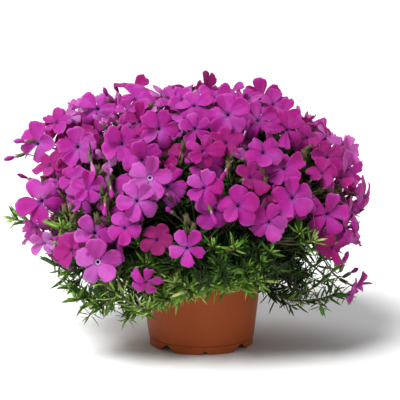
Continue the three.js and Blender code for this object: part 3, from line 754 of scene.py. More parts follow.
def petal_material():
    look = Look(
        "phlox_petal",
        Roughness=0.5,
        Specular_IOR_Level=0.1,
        Subsurface_Weight=0.3,
        Subsurface_Scale=0.0015,
        Subsurface_Radius=(1.0, 0.12, 0.4),
        Sheen_Weight=0.1,
        Sheen_Tint=(1.0, 0.6, 0.95, 1.0),
    )
    along = look.attribute("along")
    tint = look.attribute("tint")
    body = look.ramp(along, PETAL["throat_to_edge"])
    # Each petal's own tone, deeper for the deep blooms: partly the flowers' own colour, partly painted
    # shade for blooms in shadow.
    body = look.mix(look.ramp(tint, [(0.0, 0), (0.4, 1)]), look.times(body, PETAL["deep"]), body)
    # Painted shade: the dark blooms are darker still, as if in shadow.
    body = look.tinted(look.spread(tint, 0.0, -0.3), body, PETAL["dark"])
    # Broad patches of redder, darker petals and of paler ones, at random: partly the flowers' own varying
    # tone, partly painted shade and painted highlight.
    hues = look.noise(45.0, detail=1.0)
    body = look.tinted(look.spread(hues, 0.45, 0.72), body, PETAL["redder"])
    body = look.tinted(look.spread(hues, 0.47, 0.27), body, PETAL["paler"])
    # Pale blooms: partly the flowers' own paler tone, partly painted light where blooms face up or aside.
    body = look.mix(look.ramp(tint, [(0.74, 0), (0.88, 0.6), (0.95, 0.1)]), body, PETAL["pale"])
    # Painted light: petals are paler on the left of the plant, towards the key light; painted shade darkens
    # a band on its right.
    sideways = look.node("SeparateXYZ", Vector=look.place()).outputs["X"]
    body = look.tinted(look.spread(sideways, 0.02, -0.1), body, PETAL["left"])
    right = look.spread(sideways, -0.13, 0.13)
    right = look.ramp(right, [(0.5, 0), (0.68, 1), (0.84, 1), (0.93, 0)])
    body = look.tinted(right, body, PETAL["right"])
    body = look.shaded(body, look.spread(look.noise(90.0), 0.3, 0.7, 0.86, 1.08))
    veins, vein_depth, beside_middle = petal_lines(look, along, tint)
    body = look.mix(vein_depth, body, PETAL["vein"])
    # Dark dashes beside the middle of each petal's base, and a pale ring round some throats.
    near = look.ramp(along, [(0.055, 0), (0.075, 1), (0.12, 1), (0.17, 0)])
    dashes = look.maths("MULTIPLY", look.maths("MULTIPLY", beside_middle, near), 0.9)
    body = look.mix(dashes, body, PETAL["dash"])
    ring = look.ramp(along, [(0.0, 0), (0.015, 1), (0.04, 1), (0.07, 0)])
    ring = look.maths("MULTIPLY", ring, look.spread(tint, 0.89, 0.96))
    body = look.mix(ring, body, PETAL["ring"])
    height = look.maths("ADD", look.maths("MULTIPLY", veins, 0.35), look.noise(130.0))
    return look.finish(body, height, 0.5, 0.0016)


def petal_lines(look, along, tint):
    """Fine veins that run along a petal, how much they show, and two bands beside its middle."""
    across = look.attribute("across")
    lines = look.node("CombineXYZ", X=look.maths("MULTIPLY", across, 7.0), Y=along, Z=tint).outputs[0]
    veins = look.noise(2.0, detail=1.0, Vector=lines)
    bands = look.maths("ABSOLUTE", look.maths("SUBTRACT", look.maths("ABSOLUTE", across), 0.38))
    return veins, look.spread(veins, 0.5, 0.62, 0.0, 0.16), look.spread(bands, 0.08, 0.22, 1.0, 0.0)


def throat_material():
    look = Look("phlox_throat", Roughness=0.7, Specular_IOR_Level=0.2)
    return look.finish(look.ramp(look.attribute("along"), THROAT_RAMP))


def tube_material():
    look = Look("phlox_tube", Roughness=0.5, Specular_IOR_Level=0.3)
    speckle = look.maths("MULTIPLY", look.noise(400.0), 0.3)
    return look.finish(look.mix(speckle, look.ramp(look.attribute("along"), TUBE_RAMP), TUBE_SPECKLE))


def calyx_material():
    look = Look("phlox_calyx", Roughness=0.6, Specular_IOR_Level=0.3)
    patches = look.noise(250.0)
    colour = look.ramp(look.attribute("along"), CALYX_RAMP)
    colour = look.mix(look.maths("MULTIPLY", patches, 0.7), colour, CALYX_PATCH)
    return look.finish(colour, patches, 0.5, 0.0003)


def leaf_material():
    look = Look(
        "phlox_leaf",
        Roughness=0.5,
        Specular_IOR_Level=0.15,
        Subsurface_Weight=0.05,
        Subsurface_Scale=0.0006,
    )
    colour = look.ramp(look.attribute("tint"), LEAF_RAMP)
    colour = look.times(colour, look.ramp(look.attribute("along"), LEAF_BASE_TO_TIP))
    patches = look.spread(look.noise(300.0), 0.3, 0.7, 0.7, 1.25)
    return look.finish(look.shaded(colour, patches), patches, 0.3, 0.0002)


def stem_material():
    look = Look("phlox_stem", Roughness=0.6, Specular_IOR_Level=0.3)
    patches = look.noise(180.0, detail=3.0)
    colour = look.ramp(look.attribute("tint"), STEM_RAMP)
    colour = look.mix(look.maths("MULTIPLY", patches, 0.5), colour, STEM_PATCH)
    return look.finish(colour, patches, 0.5, 0.0004)


def bark_material():
    look = Look("phlox_bark", Roughness=0.85, Specular_IOR_Level=0.2)
    fibres = look.noise(450.0, detail=5.0, upwards=0.2)
    return look.finish(look.ramp(fibres, BARK_RAMP), fibres, 0.8, 0.001)


def soil_material():
    look = Look("potting_soil", Roughness=0.95, Specular_IOR_Level=0.15)
    grains = look.noise(420.0, detail=6.0, Roughness=0.7)
    cells = look.node("TexVoronoi", Vector=look.place(), Scale=350.0).outputs["Distance"]
    return look.finish(look.ramp(grains, SOIL_RAMP), look.maths("ADD", grains, cells), 1.0, 0.001)


def pot_material():
    look = Look("pot_plastic", Specular_IOR_Level=0.16)
    clouds = look.noise(22.0, detail=3.0)
    streaks = look.noise(260.0, upwards=0.12)
    blend = look.maths("ADD", look.maths("MULTIPLY", clouds, 0.7), look.maths("MULTIPLY", streaks, 0.3))
    look.feed(look.shader.inputs["Roughness"], look.spread(blend, 0.3, 0.7, 0.42, 0.56))
    grain = look.noise(2600.0)
    height = look.maths("ADD", look.maths("MULTIPLY", streaks, 0.5), grain)
    return look.finish(look.ramp(blend, POT_RAMP), height, 0.12, 0.0003)


def floor_material():
    look = Look("studio_floor", Roughness=0.9, Specular_IOR_Level=0.0)
    return look.finish(look.ramp(look.noise(3.0), FLOOR_RAMP))


# ---- flowers ---------------------------------------------------------------------------------
# The material slots of the three kinds of piece.
LIMB, THROAT = 0, 1
TUBE, CALYX, STALK, BRACT = 0, 1, 2, 3
LEAF, STEM = 0, 1

PETAL_STEPS = 8  # along a petal
PETAL_SPREAD = 8  # across it
PETAL_THICKNESS = 0.22
UNDERSIDE_PALER = 0.3  # how much lighter the back of a petal is than its front
PALEST_UNDERSIDE = 0.88
THROAT_SHARE = 0.06  # the throat's radius as a share of the bloom's
# Shares of a petal's length, from the throat out.
JOINED = 0.08  # the petals meet along about this much, at BASE_HALF_ANGLE
BASE_HALF_ANGLE = 36
WIDENS = (0.12, 0.62)
ROUNDS_OFF = (0.55, 1.05)
NOTCH_WIDTH = 0.25  # as a share of the petal's half width
# The mouth of the throat, as (share of the throat's radius, height above the throat).
MOUTH = ((0.5, -3.4), (0.75, -2.0), (1.0, -0.15), (1.12, -0.2), (1.12, -1.2), (0.8, -3.8))
# It is darker deeper in the tube: painted shade.
MOUTH_ALONG = [0, 0.2, 1, 1, 1, 0.4]  # how light it is at each of them
MOUTH_SIDES = 10
TUBE_SIDES = 8
CALYX_SIDES = 10
CALYX_CUP = ((0.5, 0.0), (1.15, 0.12), (1.3, 0.45), (1.25, 0.68))  # (radius, share of its length)
CALYX_RIBS = (1.1, 0.92)  # ribs and the grooves between them, as shares of the radius
TOOTH_RADIUS = 1.9  # where a calyx tooth ends
TOOTH_GAP = (1.15, 0.70)  # (radius, share of its length) between two teeth
CALYX_BOTTOM = 0.6  # the middle of the cup's inside is this share of its length up
CALYX_LENGTHS = {"bloom": (6.5, 8.0), "bud": (6, 7.5), "spent": (7, 9)}
STALK_SIDES = 6
BRACTS_AT = (2, 4, 5)  # steps along the stalk that bear a pair of leaves
BUD_SIDES = 10
BUD_RIDGES = (0.88, 1.12)  # grooves and ridges of the furled petals, as shares of the width
BUD_OUTLINE = ((0.0, 0.5), (0.15, 0.72), (0.4, 0.96), (0.62, 1.0), (0.85, 0.62), (1.0, 0.12))
BUD_TWIST = 1.6
BUD_TUBE = 0.6  # how long a bud's tube is, as a share of a bloom's


def rising(t, start, end):
    """0 before start, 1 after end, and an even S between."""
    share = clamped((t - start) / (end - start))
    return share * share * (3 - 2 * share)


def petal_point(i, j, radius, form):
    """A point of a petal that points along +x: i steps from the throat and j columns across."""
    t = i / PETAL_STEPS
    s = 2 * j / PETAL_SPREAD - 1
    inner = THROAT_SHARE * radius
    phase = form["phase"]
    notch = form["notch"] * math.exp(-((s / NOTCH_WIDTH) ** 2))
    tip = form["length"] * (1 - form["round"] * abs(s) ** form["square"] - notch)
    reach = inner + (radius * (tip - form["teeth"][j]) - inner) * t
    half_angle = form["claw"] + (form["half_angle"] - form["claw"]) * rising(t, *WIDENS)
    half_angle += (math.radians(BASE_HALF_ANGLE) - form["claw"]) * math.exp(-t / JOINED)
    half_angle *= 1 - form["taper"] * rising(t, *ROUNDS_OFF)
    angle = half_angle * s + 0.05 * math.sin(4 * t + phase) * t
    rise = 0.05 * (1 - math.exp(-t / 0.1)) + form["lift"] * t - form["recurve"] * t**3
    rise += (form["cup"] * s * s + form["fold"] * abs(s) + form["twist"] * s) * t
    rise += form["wrinkle"] * math.sin(6 * s + phase) * t * (1.4 - t)
    rise += form["wrinkle"] * math.sin(7 * t + 2 * s + 3 * phase) * t
    rise += form["ruffle"] * math.sin(9 * s + 2 * phase) * t**3
    return reach * math.cos(angle), reach * math.sin(angle), rise * radius


def bloom_form(rng, petals):
    """What the five petals of one bloom share."""
    half_angle = PETAL_HALF_ANGLES[petals]
    return {
        "half_angle": half_angle,
        "claw": 22 if petals == "star" else 0.4 * half_angle + 22,
        "lift": rng.uniform(-0.10, 0.20),
        "recurve": rng.uniform(0.0, 0.16),
        "notch": rng.choice([0.0, 0.0, 0.03, 0.06, 0.1]),
        "round": rng.uniform(0.12, 0.22),
        "square": rng.choice([2.2, 2.8, 4.0]),
        "taper": rng.uniform(0.2, 0.38) if petals in ("broad", "open") else rng.uniform(0.1, 0.25),
        "fold": rng.uniform(-0.06, 0.10),
        "teeth": rng.choice([0.03, 0.05, 0.08, 0.11]),
    }


def petal_form(rng, bloom):
    """One petal's own shape: the bloom's, with its own small changes and now and then a strong bend."""
    bent = rng.random()
    spread = rng.uniform(0.86, 1.12)
    return {
        "half_angle": math.radians(bloom["half_angle"] * spread),
        "claw": math.radians(bloom["claw"] * spread),
        "length": rng.uniform(0.90, 1.06),
        "round": bloom["round"] * rng.uniform(0.8, 1.2),
        "square": bloom["square"],
        "taper": bloom["taper"] * rng.uniform(0.7, 1.2),
        "notch": bloom["notch"] * rng.uniform(0.6, 1.2),
        "teeth": [rng.uniform(0, bloom["teeth"]) for _ in range(PETAL_SPREAD + 1)],
        "lift": bloom["lift"] + rng.uniform(-0.07, 0.07) + (rng.uniform(0.25, 0.6) if bent > 0.84 else 0),
        "recurve": bloom["recurve"] + (rng.uniform(0.25, 0.55) if bent < 0.17 else 0),
        "cup": rng.uniform(-0.08, 0.05),
        "fold": bloom["fold"] + (rng.uniform(0.15, 0.5) if 0.17 < bent < 0.36 else 0),
        "twist": rng.uniform(0.03, 0.17),
        "wrinkle": rng.uniform(0.012, 0.045),
        "ruffle": rng.uniform(0.0, 0.065),
        "phase": rng.uniform(0, 6.3),
    }


def add_petal(shape, to_world, radius, form, angle, tint):
    """A thin closed petal, turned clockwise from straight up."""
    columns = PETAL_SPREAD + 1
    rows = range(PETAL_STEPS + 1)
    count = columns * len(rows)
    points = []
    for sheet in (0.5, -0.5):
        for i in rows:
            for j in range(columns):
                x, y, z = petal_point(i, j, radius, form)
                right = x * math.sin(angle) - y * math.cos(angle)
                above = x * math.cos(angle) + y * math.sin(angle)
                points.append(to_world(right, above, z + sheet * PETAL_THICKNESS))
    faces = []
    for i in range(PETAL_STEPS):
        for k in range(i * columns, i * columns + PETAL_SPREAD):
            quad = (k, k + columns, k + columns + 1, k + 1)
            faces += [quad, tuple(count + corner for corner in reversed(quad))]
    rounded = [True] * len(faces)
    first, last = list(range(columns)), list(range(count - columns, count))
    left, right = range(columns, count - columns, columns), range(2 * columns - 1, count - columns, columns)
    border = first + list(right) + last[::-1] + list(left)[::-1]
    for a, b in zip(border, border[1:] + border[:1]):
        faces.append((a, b, count + b, count + a))
        rounded.append(False)
    along = [i / PETAL_STEPS for i in rows for _ in range(columns)] * 2
    across = [2 * j / PETAL_SPREAD - 1 for j in range(columns)] * len(rows) * 2
    tints = [tint] * count + [min(tint + UNDERSIDE_PALER, PALEST_UNDERSIDE)] * count
    shape.add(points, faces, LIMB, along, across, tints, rounded)


def local_frame(centre, normal, spin):
    """A function that takes a flower's own (right, above, outward) millimetres to the frame."""
    up = Vector((0, 1, 0)) if abs(normal.z) > 0.95 else UP
    right = up.cross(normal).normalized()
    above = normal.cross(right)
    turned_right = right * math.cos(spin) - above * math.sin(spin)
    turned_above = above * math.cos(spin) + right * math.sin(spin)

    def to_world(x, y, z):
        return centre + turned_right * x + turned_above * y + normal * z

    return to_world


def ring_points(to_world, ring, twist=0.0):
    """Points round a flower's own axis, one for each (radius, height)."""
    turns = [2 * math.pi * k / len(ring) + twist for k in range(len(ring))]
    return [to_world(r * math.cos(turn), r * math.sin(turn), z) for (r, z), turn in zip(ring, turns)]


def add_lathe(shape, to_world, profile, sides, material, along):
    """A surface of revolution through (radius, height) points, closed at both ends."""
    points = [point for r, z in profile for point in ring_points(to_world, [(r, z)] * sides)]
    along = [share for share in along for _ in range(sides)]
    shape.add(points, tube_faces(len(profile), sides), material, along)


def add_calyx(shape, to_world, length, rng):
    """A narrow ribbed cup with five pointed teeth that hugs the back of the tube."""
    start = -TUBE_LENGTH - 1
    points = []
    along = []
    for radius, share in CALYX_CUP:
        ribs = [(radius * CALYX_RIBS[k % 2], start + length * share) for k in range(CALYX_SIDES)]
        points += ring_points(to_world, ribs)
        along += [share] * CALYX_SIDES
    teeth = []
    for k in range(CALYX_SIDES):
        radius, share = TOOTH_GAP if k % 2 else (TOOTH_RADIUS * rng.uniform(0.8, 1.2), 1.0)
        teeth.append((radius, start + length * share))
        along.append(share)
    points += ring_points(to_world, teeth)
    points.append(to_world(0, 0, start + length * CALYX_BOTTOM))
    along.append(CALYX_BOTTOM)
    rings = len(CALYX_CUP) + 1
    last = (rings - 1) * CALYX_SIDES
    faces = tube_faces(rings, CALYX_SIDES)[:-1]
    faces += [(last + k, last + (k + 1) % CALYX_SIDES, last + CALYX_SIDES) for k in range(CALYX_SIDES)]
    shape.add(points, faces, CALYX, along, 0.0, rng.random())


def add_stalk(shape, foot, way, stem, radius, bend, rng):
    """A flower's stalk, from its foot to its stem's hub, with small leaves. Gives the stalk's path."""
    hub = hubs[stem]
    span = (hub - foot).length
    path = curve_points(foot, -way * span * bend, hub, -stem_ways[stem] * span * 0.8, 7)
    radii = [radius, *[radius - 0.05] * 3, radius, 0.6, 0.7, 0.8]
    add_tube(shape, path, radii, STALK_SIDES, STALK, 0.6)
    add_bracts(shape, path, rng)
    return path


def add_bloom(petals, greens, bloom, stem, rng):
    radius = bloom["radius"]
    to_world = local_frame(bloom["centre"], bloom["normal"], bloom["spin"])
    tint = rng.uniform(*TONES[bloom["tone"]])
    shared = bloom_form(rng, bloom["petals"])
    for k in range(5):
        form = petal_form(rng, shared)
        angle = math.radians(72 * k + rng.uniform(-5, 5))
        add_petal(petals, to_world, radius, form, angle, min(1, tint * rng.uniform(0.92, 1.08)))
    throat = THROAT_SHARE * radius
    mouth = [(throat * share, z) for share, z in MOUTH]
    add_lathe(petals, to_world, mouth, MOUTH_SIDES, THROAT, MOUTH_ALONG)
    back = [(0.8, -TUBE_LENGTH), (0.85, -7.0), (throat * 0.8, -3.6)]
    add_lathe(greens, to_world, back, TUBE_SIDES, TUBE, [0, 0.4, 1])
    add_calyx(greens, to_world, rng.uniform(*CALYX_LENGTHS["bloom"]), rng)
    add_stalk(greens, to_world(0, 0, -TUBE_LENGTH - 0.5), bloom["normal"], stem, 0.55, 0.9, rng)


def add_bracts(shape, path, rng):
    """Small pairs of leaves on a flower's stalk."""
    for i in BRACTS_AT:
        way = (path[i + 1] - path[i]).normalized()
        turn = rng.uniform(0, math.pi)
        tint = rng.uniform(0.05, 0.45)
        for half_turn in (0, math.pi):
            outward = beside(way, turn + half_turn)
            leaf_way = (outward * 0.8 - way * rng.uniform(0.2, 0.8)).normalized()
            size = rng.uniform(6, 11)
            add_leaf(shape, path[i], leaf_way, -way, size, size * 0.17, tint, rng.uniform(-0.2, 0.3), BRACT)


def add_bud(petals, greens, base, way, stem, rng):
    """A closed flower: a furled spindle of petals on its tube and calyx, on a stalk from the hub."""
    length = rng.uniform(5.5, 9)
    width = rng.uniform(1.3, 1.9)
    to_world = local_frame(base, way, rng.uniform(0, 6))
    points = []
    for share, wide in BUD_OUTLINE:
        ridges = [(width * wide * BUD_RIDGES[k % 2], length * share) for k in range(BUD_SIDES)]
        points += ring_points(to_world, ridges, share * BUD_TWIST)
    along = [0.45 + 0.4 * share for share, _ in BUD_OUTLINE for _ in range(BUD_SIDES)]
    faces = tube_faces(len(BUD_OUTLINE), BUD_SIDES)
    petals.add(points, faces, LIMB, along, 0.0, rng.uniform(0.3, 0.88))
    neck = [(0.8, -TUBE_LENGTH * BUD_TUBE), (0.75, -2.0), (width * 0.5, 0.3)]
    add_lathe(greens, to_world, neck, TUBE_SIDES, TUBE, [0, 0.7, 1])
    seat = local_frame(base + way * (TUBE_LENGTH * (1 - BUD_TUBE)), way, 0)
    add_calyx(greens, seat, rng.uniform(*CALYX_LENGTHS["bud"]), rng)
    add_stalk(greens, base - way * (TUBE_LENGTH * BUD_TUBE), way, stem, 0.5, 0.8, rng)


def add_spent(shape, base, way, stem, rng):
    """A calyx that has dropped its flower, on its stalk, with more bracts than the others have."""
    to_world = local_frame(base, way, rng.uniform(0, 6))
    add_calyx(shape, to_world, rng.uniform(*CALYX_LENGTHS["spent"]), rng)
    path = add_stalk(shape, base - way * (TUBE_LENGTH + 0.5), way, stem, 0.5, 0.8, rng)
    add_bracts(shape, path, rng)


# ---- leaves ----------------------------------------------------------------------------------
LEAF_LIFT = 0.35  # how far leaves turn up towards the light
LEAF_STATIONS = ((0.28, 1.0), (0.68, 0.82))  # (share of its length, share of its width)
KEEL = 0.7  # how deep a leaf is, as a share of half its width
LEAF_WIDTHS = (0.12, 0.22)  # as shares of its length
LEAF_CURLS = (-0.25, 0.3)
PAIR_LEANS = (40, 80)  # degrees between leaf and stem
SHOOT_SIDES = 5
ROSETTE = 4  # pairs of leaves at a shoot's tip
ROOTED_FIRST = 0.3  # leaves start at this share of a sprig that comes from the crown
SPRIG_SPACING = 2.7  # between the pairs of leaves of a sprig


def add_leaf(shape, base, way, up, length, width, tint, curl, material=LEAF):
    """A needle leaf: a closed three-sided spindle, widest at a third of its length."""
    side = way.cross(up)
    if side.length < 1e-3:
        side = square_to(way)[0]
    side.normalize()
    top = side.cross(way)
    points = [base]
    for t, share in LEAF_STATIONS:
        centre = base + way * length * t + top * curl * length * t * t
        half = width * share / 2
        points += [centre - side * half, centre + side * half, centre - top * half * KEEL]
    points.append(base + way * length * 0.97 + top * curl * length)
    along = [0.0] + [t for t, _ in LEAF_STATIONS for _ in range(3)] + [1.0]
    faces = [(0, 2, 1), (0, 3, 2), (0, 1, 3)]
    faces += [(1, 2, 5, 4), (2, 3, 6, 5), (3, 1, 4, 6)]
    faces += [(4, 5, 7), (5, 6, 7), (6, 4, 7)]
    shape.add(points, faces, material, along, 0.0, tint)


def add_pair(shape, point, way, turn, lean, size, tint, rng):
    """Two leaves across from each other on a stem that runs along way."""
    for half_turn in (0, math.pi):
        skew = any_way(rng) * 0.2
        skew.z += LEAF_LIFT
        outward = beside(way, turn + half_turn)
        leaf_way = (way * math.cos(lean) + outward * math.sin(lean) + skew).normalized()
        length = size * rng.uniform(0.8, 1.15)
        own_tint = clamped(tint + rng.uniform(-0.18, 0.14))
        width = length * rng.uniform(*LEAF_WIDTHS)
        add_leaf(shape, point, leaf_way, way, length, width, own_tint, rng.uniform(*LEAF_CURLS))


def add_shoot(shape, path, rng, tone, leaf=13.0, spacing=3.6, radius=0.8, first=0.1, bright=0.3):
    """A leafy shoot: a thin stem with crossed pairs of needle leaves, and a rosette at its tip.
    Leaves start at the share first of its length and are lighter by up to bright towards its tip."""
    steps = len(path) - 1
    radii = [radius * (1 - 0.5 * i / steps) for i in range(steps + 1)]
    add_tube(shape, path, radii, SHOOT_SIDES, STEM, min(1.0, tone + 0.2))
    length = sum((path[i + 1] - path[i]).length for i in range(steps))
    distance = length * first
    turn = rng.uniform(0, math.pi)
    while distance < length - 2.5:
        share = distance / length
        i = min(int(share * steps), steps - 1)
        point = path[i].lerp(path[i + 1], share * steps - i)
        way = (path[i + 1] - path[i]).normalized()
        lean = math.radians(rng.uniform(*PAIR_LEANS))
        size = leaf * rng.uniform(0.65, 1.2)
        add_pair(shape, point, way, turn, lean, size, tone + bright * share**3 / 2, rng)
        turn += math.pi / 2 + rng.uniform(-0.3, 0.3)
        distance += spacing * rng.uniform(0.75, 1.25)
    way = (path[-1] - path[-2]).normalized()
    for level in range(ROSETTE):
        lean = math.radians(76 - 18 * level)
        point = path[-1] - way * (2.4 - 0.8 * level)
        size = leaf * (0.8 - 0.1 * level)
        add_pair(shape, point, way, turn, lean, size, tone + bright * (0.6 + 0.13 * level), rng)
        turn += math.pi / 2 + rng.uniform(-0.3, 0.3)


def side_tone(right):
    """How much lighter a shoot's leaves are painted, from how far to the right it grows, -1 to 1: painted
    shade on the right, painted light on the left.
    """
    return -RIGHT_DARKER * right if right > 0 else -LEFT_LIGHTER * right


def add_flowering_stem(shape, stem, rng):
    """The stem from the crown to its hub, with leafy side shoots that fill the space under its blooms."""
    way = stem_ways[stem]
    hub = hubs[stem]
    start = crown_centre + way * (CROWN["radius"] - 2)
    side = square_to(way)[rng.randrange(2)]
    bow = (hub - start).length
    path = curve_points(start, way * bow + side * bow * 0.2, hub, way * bow - side * bow * 0.15, 8)
    add_shoot(shape, path, rng, 0.1, radius=1.2, first=0.12)
    for k in range(TWIGS):
        share = 0.2 + 0.8 * math.sqrt(k / TWIGS)
        turn = k * GOLDEN_ANGLE + rng.uniform(-0.3, 0.3)
        twig_way = way + beside(way, turn) * rng.uniform(0.3, 0.9 + 0.5 * share)
        add_twig(shape, stem, start.lerp(hub, share), twig_way, rng)


def add_twig(shape, stem, origin, twig_way, rng):
    """A leafy side shoot of a flowering stem. The low ones, out from under the blooms, are painted lighter,
    as painted light where more light reaches them.
    """
    way = stem_ways[stem]
    reach = (hubs[stem] - crown_centre).length / HUB_SHARE
    furthest = reach * TWIG_REACH["leaning" if way.z < STEEP else "steep"]
    length = min(reach * rng.uniform(0.32, 0.5), furthest - (origin - crown_centre).length)
    twig = growing(origin, twig_way, max(length, TWIG_LEAST), 5, 0.04, 0.06, rng)
    # Painted light: twigs that end low, out from under the blooms, get lighter leaves and more light tips.
    low = clamped(1 - (twig[-1].z - 60) / 50)
    bright = rng.uniform(0.4, 0.8) * low if rng.random() < 0.25 else 0.1
    if not in_clearing(twig):
        # Painted shade: darker leaves and fewer light tips on the right.
        tone = rng.uniform(0.0, 0.14) + 0.08 * low + side_tone(way.x) / 2
        bright *= 1 - 0.4 * max(0, way.x)
        add_shoot(shape, twig, rng, tone, radius=0.75, bright=bright)


def in_clearing(path):
    return any(seen_in(point, CLEARINGS) for point in path)


def over_rim(outward, height):
    return outward * (POT["rim_radius"] + RIM_CLEARANCE) + UP * height


def path_over_rim(tip, tip_way, rng):
    """A path from the crown that clears the pot's rim and comes to a tip outside it."""
    outward = Vector((tip.x, tip.y, 0)).normalized()
    low = SHOOT_START["height"]
    start = outward * SHOOT_START["radius"] + UP * low
    over = over_rim(outward, max(OVER_RIM, low + (tip.z - low) * 0.45) + rng.uniform(0, 2))
    level = (tip - over).length
    slope = (tip - over) * 0.3 + outward * level * 0.8
    climb = curve_points(start, outward * 28 + UP * 14, over, slope, 5)
    return climb + curve_points(over, slope, tip, tip_way * level * 0.9, 6)[1:]


def path_through(points, steps):
    """A smooth path through all the points."""
    path = [points[0]]
    padded = [points[0] * 2 - points[1], *points, points[-1] * 2 - points[-2]]
    for before, start, end, after in zip(padded, padded[1:], padded[2:], padded[3:]):
        path += curve_points(start, (end - before) / 2, end, (after - start) / 2, steps)[1:]
    return path


def add_sprig(shape, stations, tone, leaf, rng, rooted=True):
    """A shoot that passes the given (column, row, depth) points in front. A rooted one crosses the rim."""
    points = [at_depth(*station) for station in stations]
    if rooted:
        outward = Vector((points[0].x, points[0].y, 0)).normalized()
        start = outward * SHOOT_START["radius"] + UP * SHOOT_START["height"]
        points = [start, over_rim(outward, OVER_RIM), *points]
    path = path_through(points, 4)
    first = ROOTED_FIRST if rooted else 0.0
    add_shoot(shape, path, rng, tone - 0.25, radius=1.0, first=first, leaf=leaf, spacing=SPRIG_SPACING)


def add_tuft(shape, column, row, depth, pan, tilt, lightness, rng):
    """A light rosette on a shoot from the crown, or from the nearest flowering stem where it is high."""
    tip = at_depth(column, row, depth)
    way = facing(line_of_sight(column, row), pan, tilt)
    if tip.z > HIGH_TUFT:
        stem = nearest_stem(tip)
        span = (tip - hubs[stem]).length
        path = curve_points(hubs[stem], stem_ways[stem] * span, tip, way * span, 7)
    else:
        path = path_over_rim(tip, way, rng)
    add_shoot(shape, path, rng, lightness - 0.45, first=0.7, leaf=11 + 7 * lightness, bright=0.5)


def add_trailing_shoot(shape, azimuth, reach, tip_height, rng):
    """A shoot that runs from the crown over the rim and hangs outside it, with side shoots."""
    outward = direction(math.radians(azimuth))
    path = path_over_rim(outward * reach + UP * tip_height, (outward - UP).normalized(), rng)
    leaf = 13 + 3 * max(0, -outward.x)
    add_shoot(shape, path, rng, 0.45, radius=1.2, first=0.25, leaf=leaf)
    around = direction(math.radians(azimuth) + math.pi / 2)
    for k in range(round(reach / 4)):
        swing = rng.uniform(0.3, 1.2) * (1 if k % 2 else -1)
        twig_way = outward * rng.uniform(0.3, 1.0) + around * swing + UP * rng.uniform(-0.1, 0.9)
        origin = path[2 + k * 5 % 9]
        twig = growing(origin, twig_way, rng.uniform(16, 32), 5, rng.uniform(-0.10, 0.12), 0.09, rng)
        tone = rng.uniform(0.4, 0.65) if rng.random() < 0.4 else rng.uniform(0.1, 0.35)
        if not in_clearing(twig):
            # side_tone paints shade on the right and light on the left.
            add_shoot(shape, twig, rng, tone + side_tone(outward.x), radius=0.7, bright=0.4, leaf=leaf)


def add_skirt_shoot(shape, azimuth, rng):
    """A short shoot that leans over the rim from the soil and hides the lip."""
    outward = direction(azimuth)
    around = direction(azimuth + math.pi / 2)
    in_front = math.cos(azimuth) > FRONT_COSINE
    lowest = 60 + 8 * math.sin(azimuth) if in_front else 44
    sideways = rng.uniform(10, 26) * rng.choice([-1, 1]) if in_front else rng.uniform(-14, 14)
    beyond = rng.uniform(8, 18) if in_front else rng.uniform(8, 34)
    tip = outward * (POT["rim_radius"] + beyond) + around * sideways + UP * rng.uniform(lowest, lowest + 16)
    tip_way = around * math.copysign(0.8, sideways) + UP * 0.35 if in_front else outward * 0.5 - UP * 0.5
    path = path_over_rim(tip, tip_way, rng)
    light = rng.random() < 0.3
    # side_tone paints shade on the right and light on the left.
    tone = (rng.uniform(0.6, 0.95) if light else rng.uniform(0.0, 0.1)) + side_tone(outward.x)
    add_shoot(shape, path, rng, tone, first=0.35, leaf=12, bright=0.5 if light else 0.2)


def add_undergrowth(shape, azimuth, rng):
    """A short dark shoot that hangs close to the wall in front and hides the lip."""
    outward = direction(azimuth)
    around = direction(azimuth + math.pi / 2)
    tip = outward * (POT["rim_radius"] + rng.uniform(4, 8)) + around * rng.uniform(-8, 8)
    tip.z = rng.uniform(62, 70) + 6 * math.sin(azimuth)
    path = path_over_rim(tip, around * rng.uniform(-0.6, 0.6) - UP * 0.3, rng)
    add_shoot(shape, path, rng, rng.uniform(0.0, 0.15), spacing=2.6, first=0.4, leaf=12, bright=0.15)


# ---- the pieces ------------------------------------------------------------------------------
def make_stems(petal, throat, tube, calyx, stem_green, leaf):
    """For each stem, its blooms in two pieces, petals and green parts, and its leafy stem."""
    shares = [[] for _ in stem_ways]
    for bloom in other_blooms(front_blooms()):
        shares[nearest_stem(bloom["centre"])].append(bloom)
    for stem, own in enumerate(shares):
        number = f"{stem + 1:02d}"
        petals = Shape()
        greens = Shape()
        for bloom in own:
            add_bloom(petals, greens, bloom, stem, random.Random(bloom["seed"]))
        rng = random.Random(SEEDS["buds"] + stem)
        for base, way in buds_of(stem):
            add_bud(petals, greens, base, way, stem, rng)
        for base, way in spent_of(stem):
            add_spent(greens, base, way, stem, rng)
        petals.piece(f"petals_{number}", [petal, throat], f"blooms_{number}")
        greens.piece(f"calyxes_{number}", [tube, calyx, stem_green, leaf])
        shape = Shape()
        add_flowering_stem(shape, stem, random.Random(SEEDS["stems"] + stem))
        shape.piece(f"leafy_stem_{number}", [leaf, stem_green], f"flower_stem_{number}")


def make_trails(stem_green, leaf):
    """The trailing shoots, each with the shoots that hang over the rim up to the next one."""
    for index, (azimuth, reach, tip_height) in enumerate(TRAILING_SHOOTS):
        shape = Shape()
        rng = random.Random(SEEDS["trails"] + index)
        add_trailing_shoot(shape, azimuth, reach, tip_height, rng)
        gap = (TRAILING_SHOOTS[(index + 1) % len(TRAILING_SHOOTS)][0] - azimuth) % 360
        in_front = math.cos(math.radians(azimuth)) > FRONT_COSINE
        skirts = max(4, round(gap / (8 if in_front else 5)))
        for k in range(skirts):
            at = azimuth + gap * (k + rng.uniform(0.2, 0.8)) / skirts
            add_skirt_shoot(shape, math.radians(at), rng)
        if index == 0:
            add_front_shoots(shape, rng)
        number = f"{index + 1:02d}"
        shape.piece(f"leafy_trail_{number}", [leaf, stem_green], f"trailing_shoot_{number}")


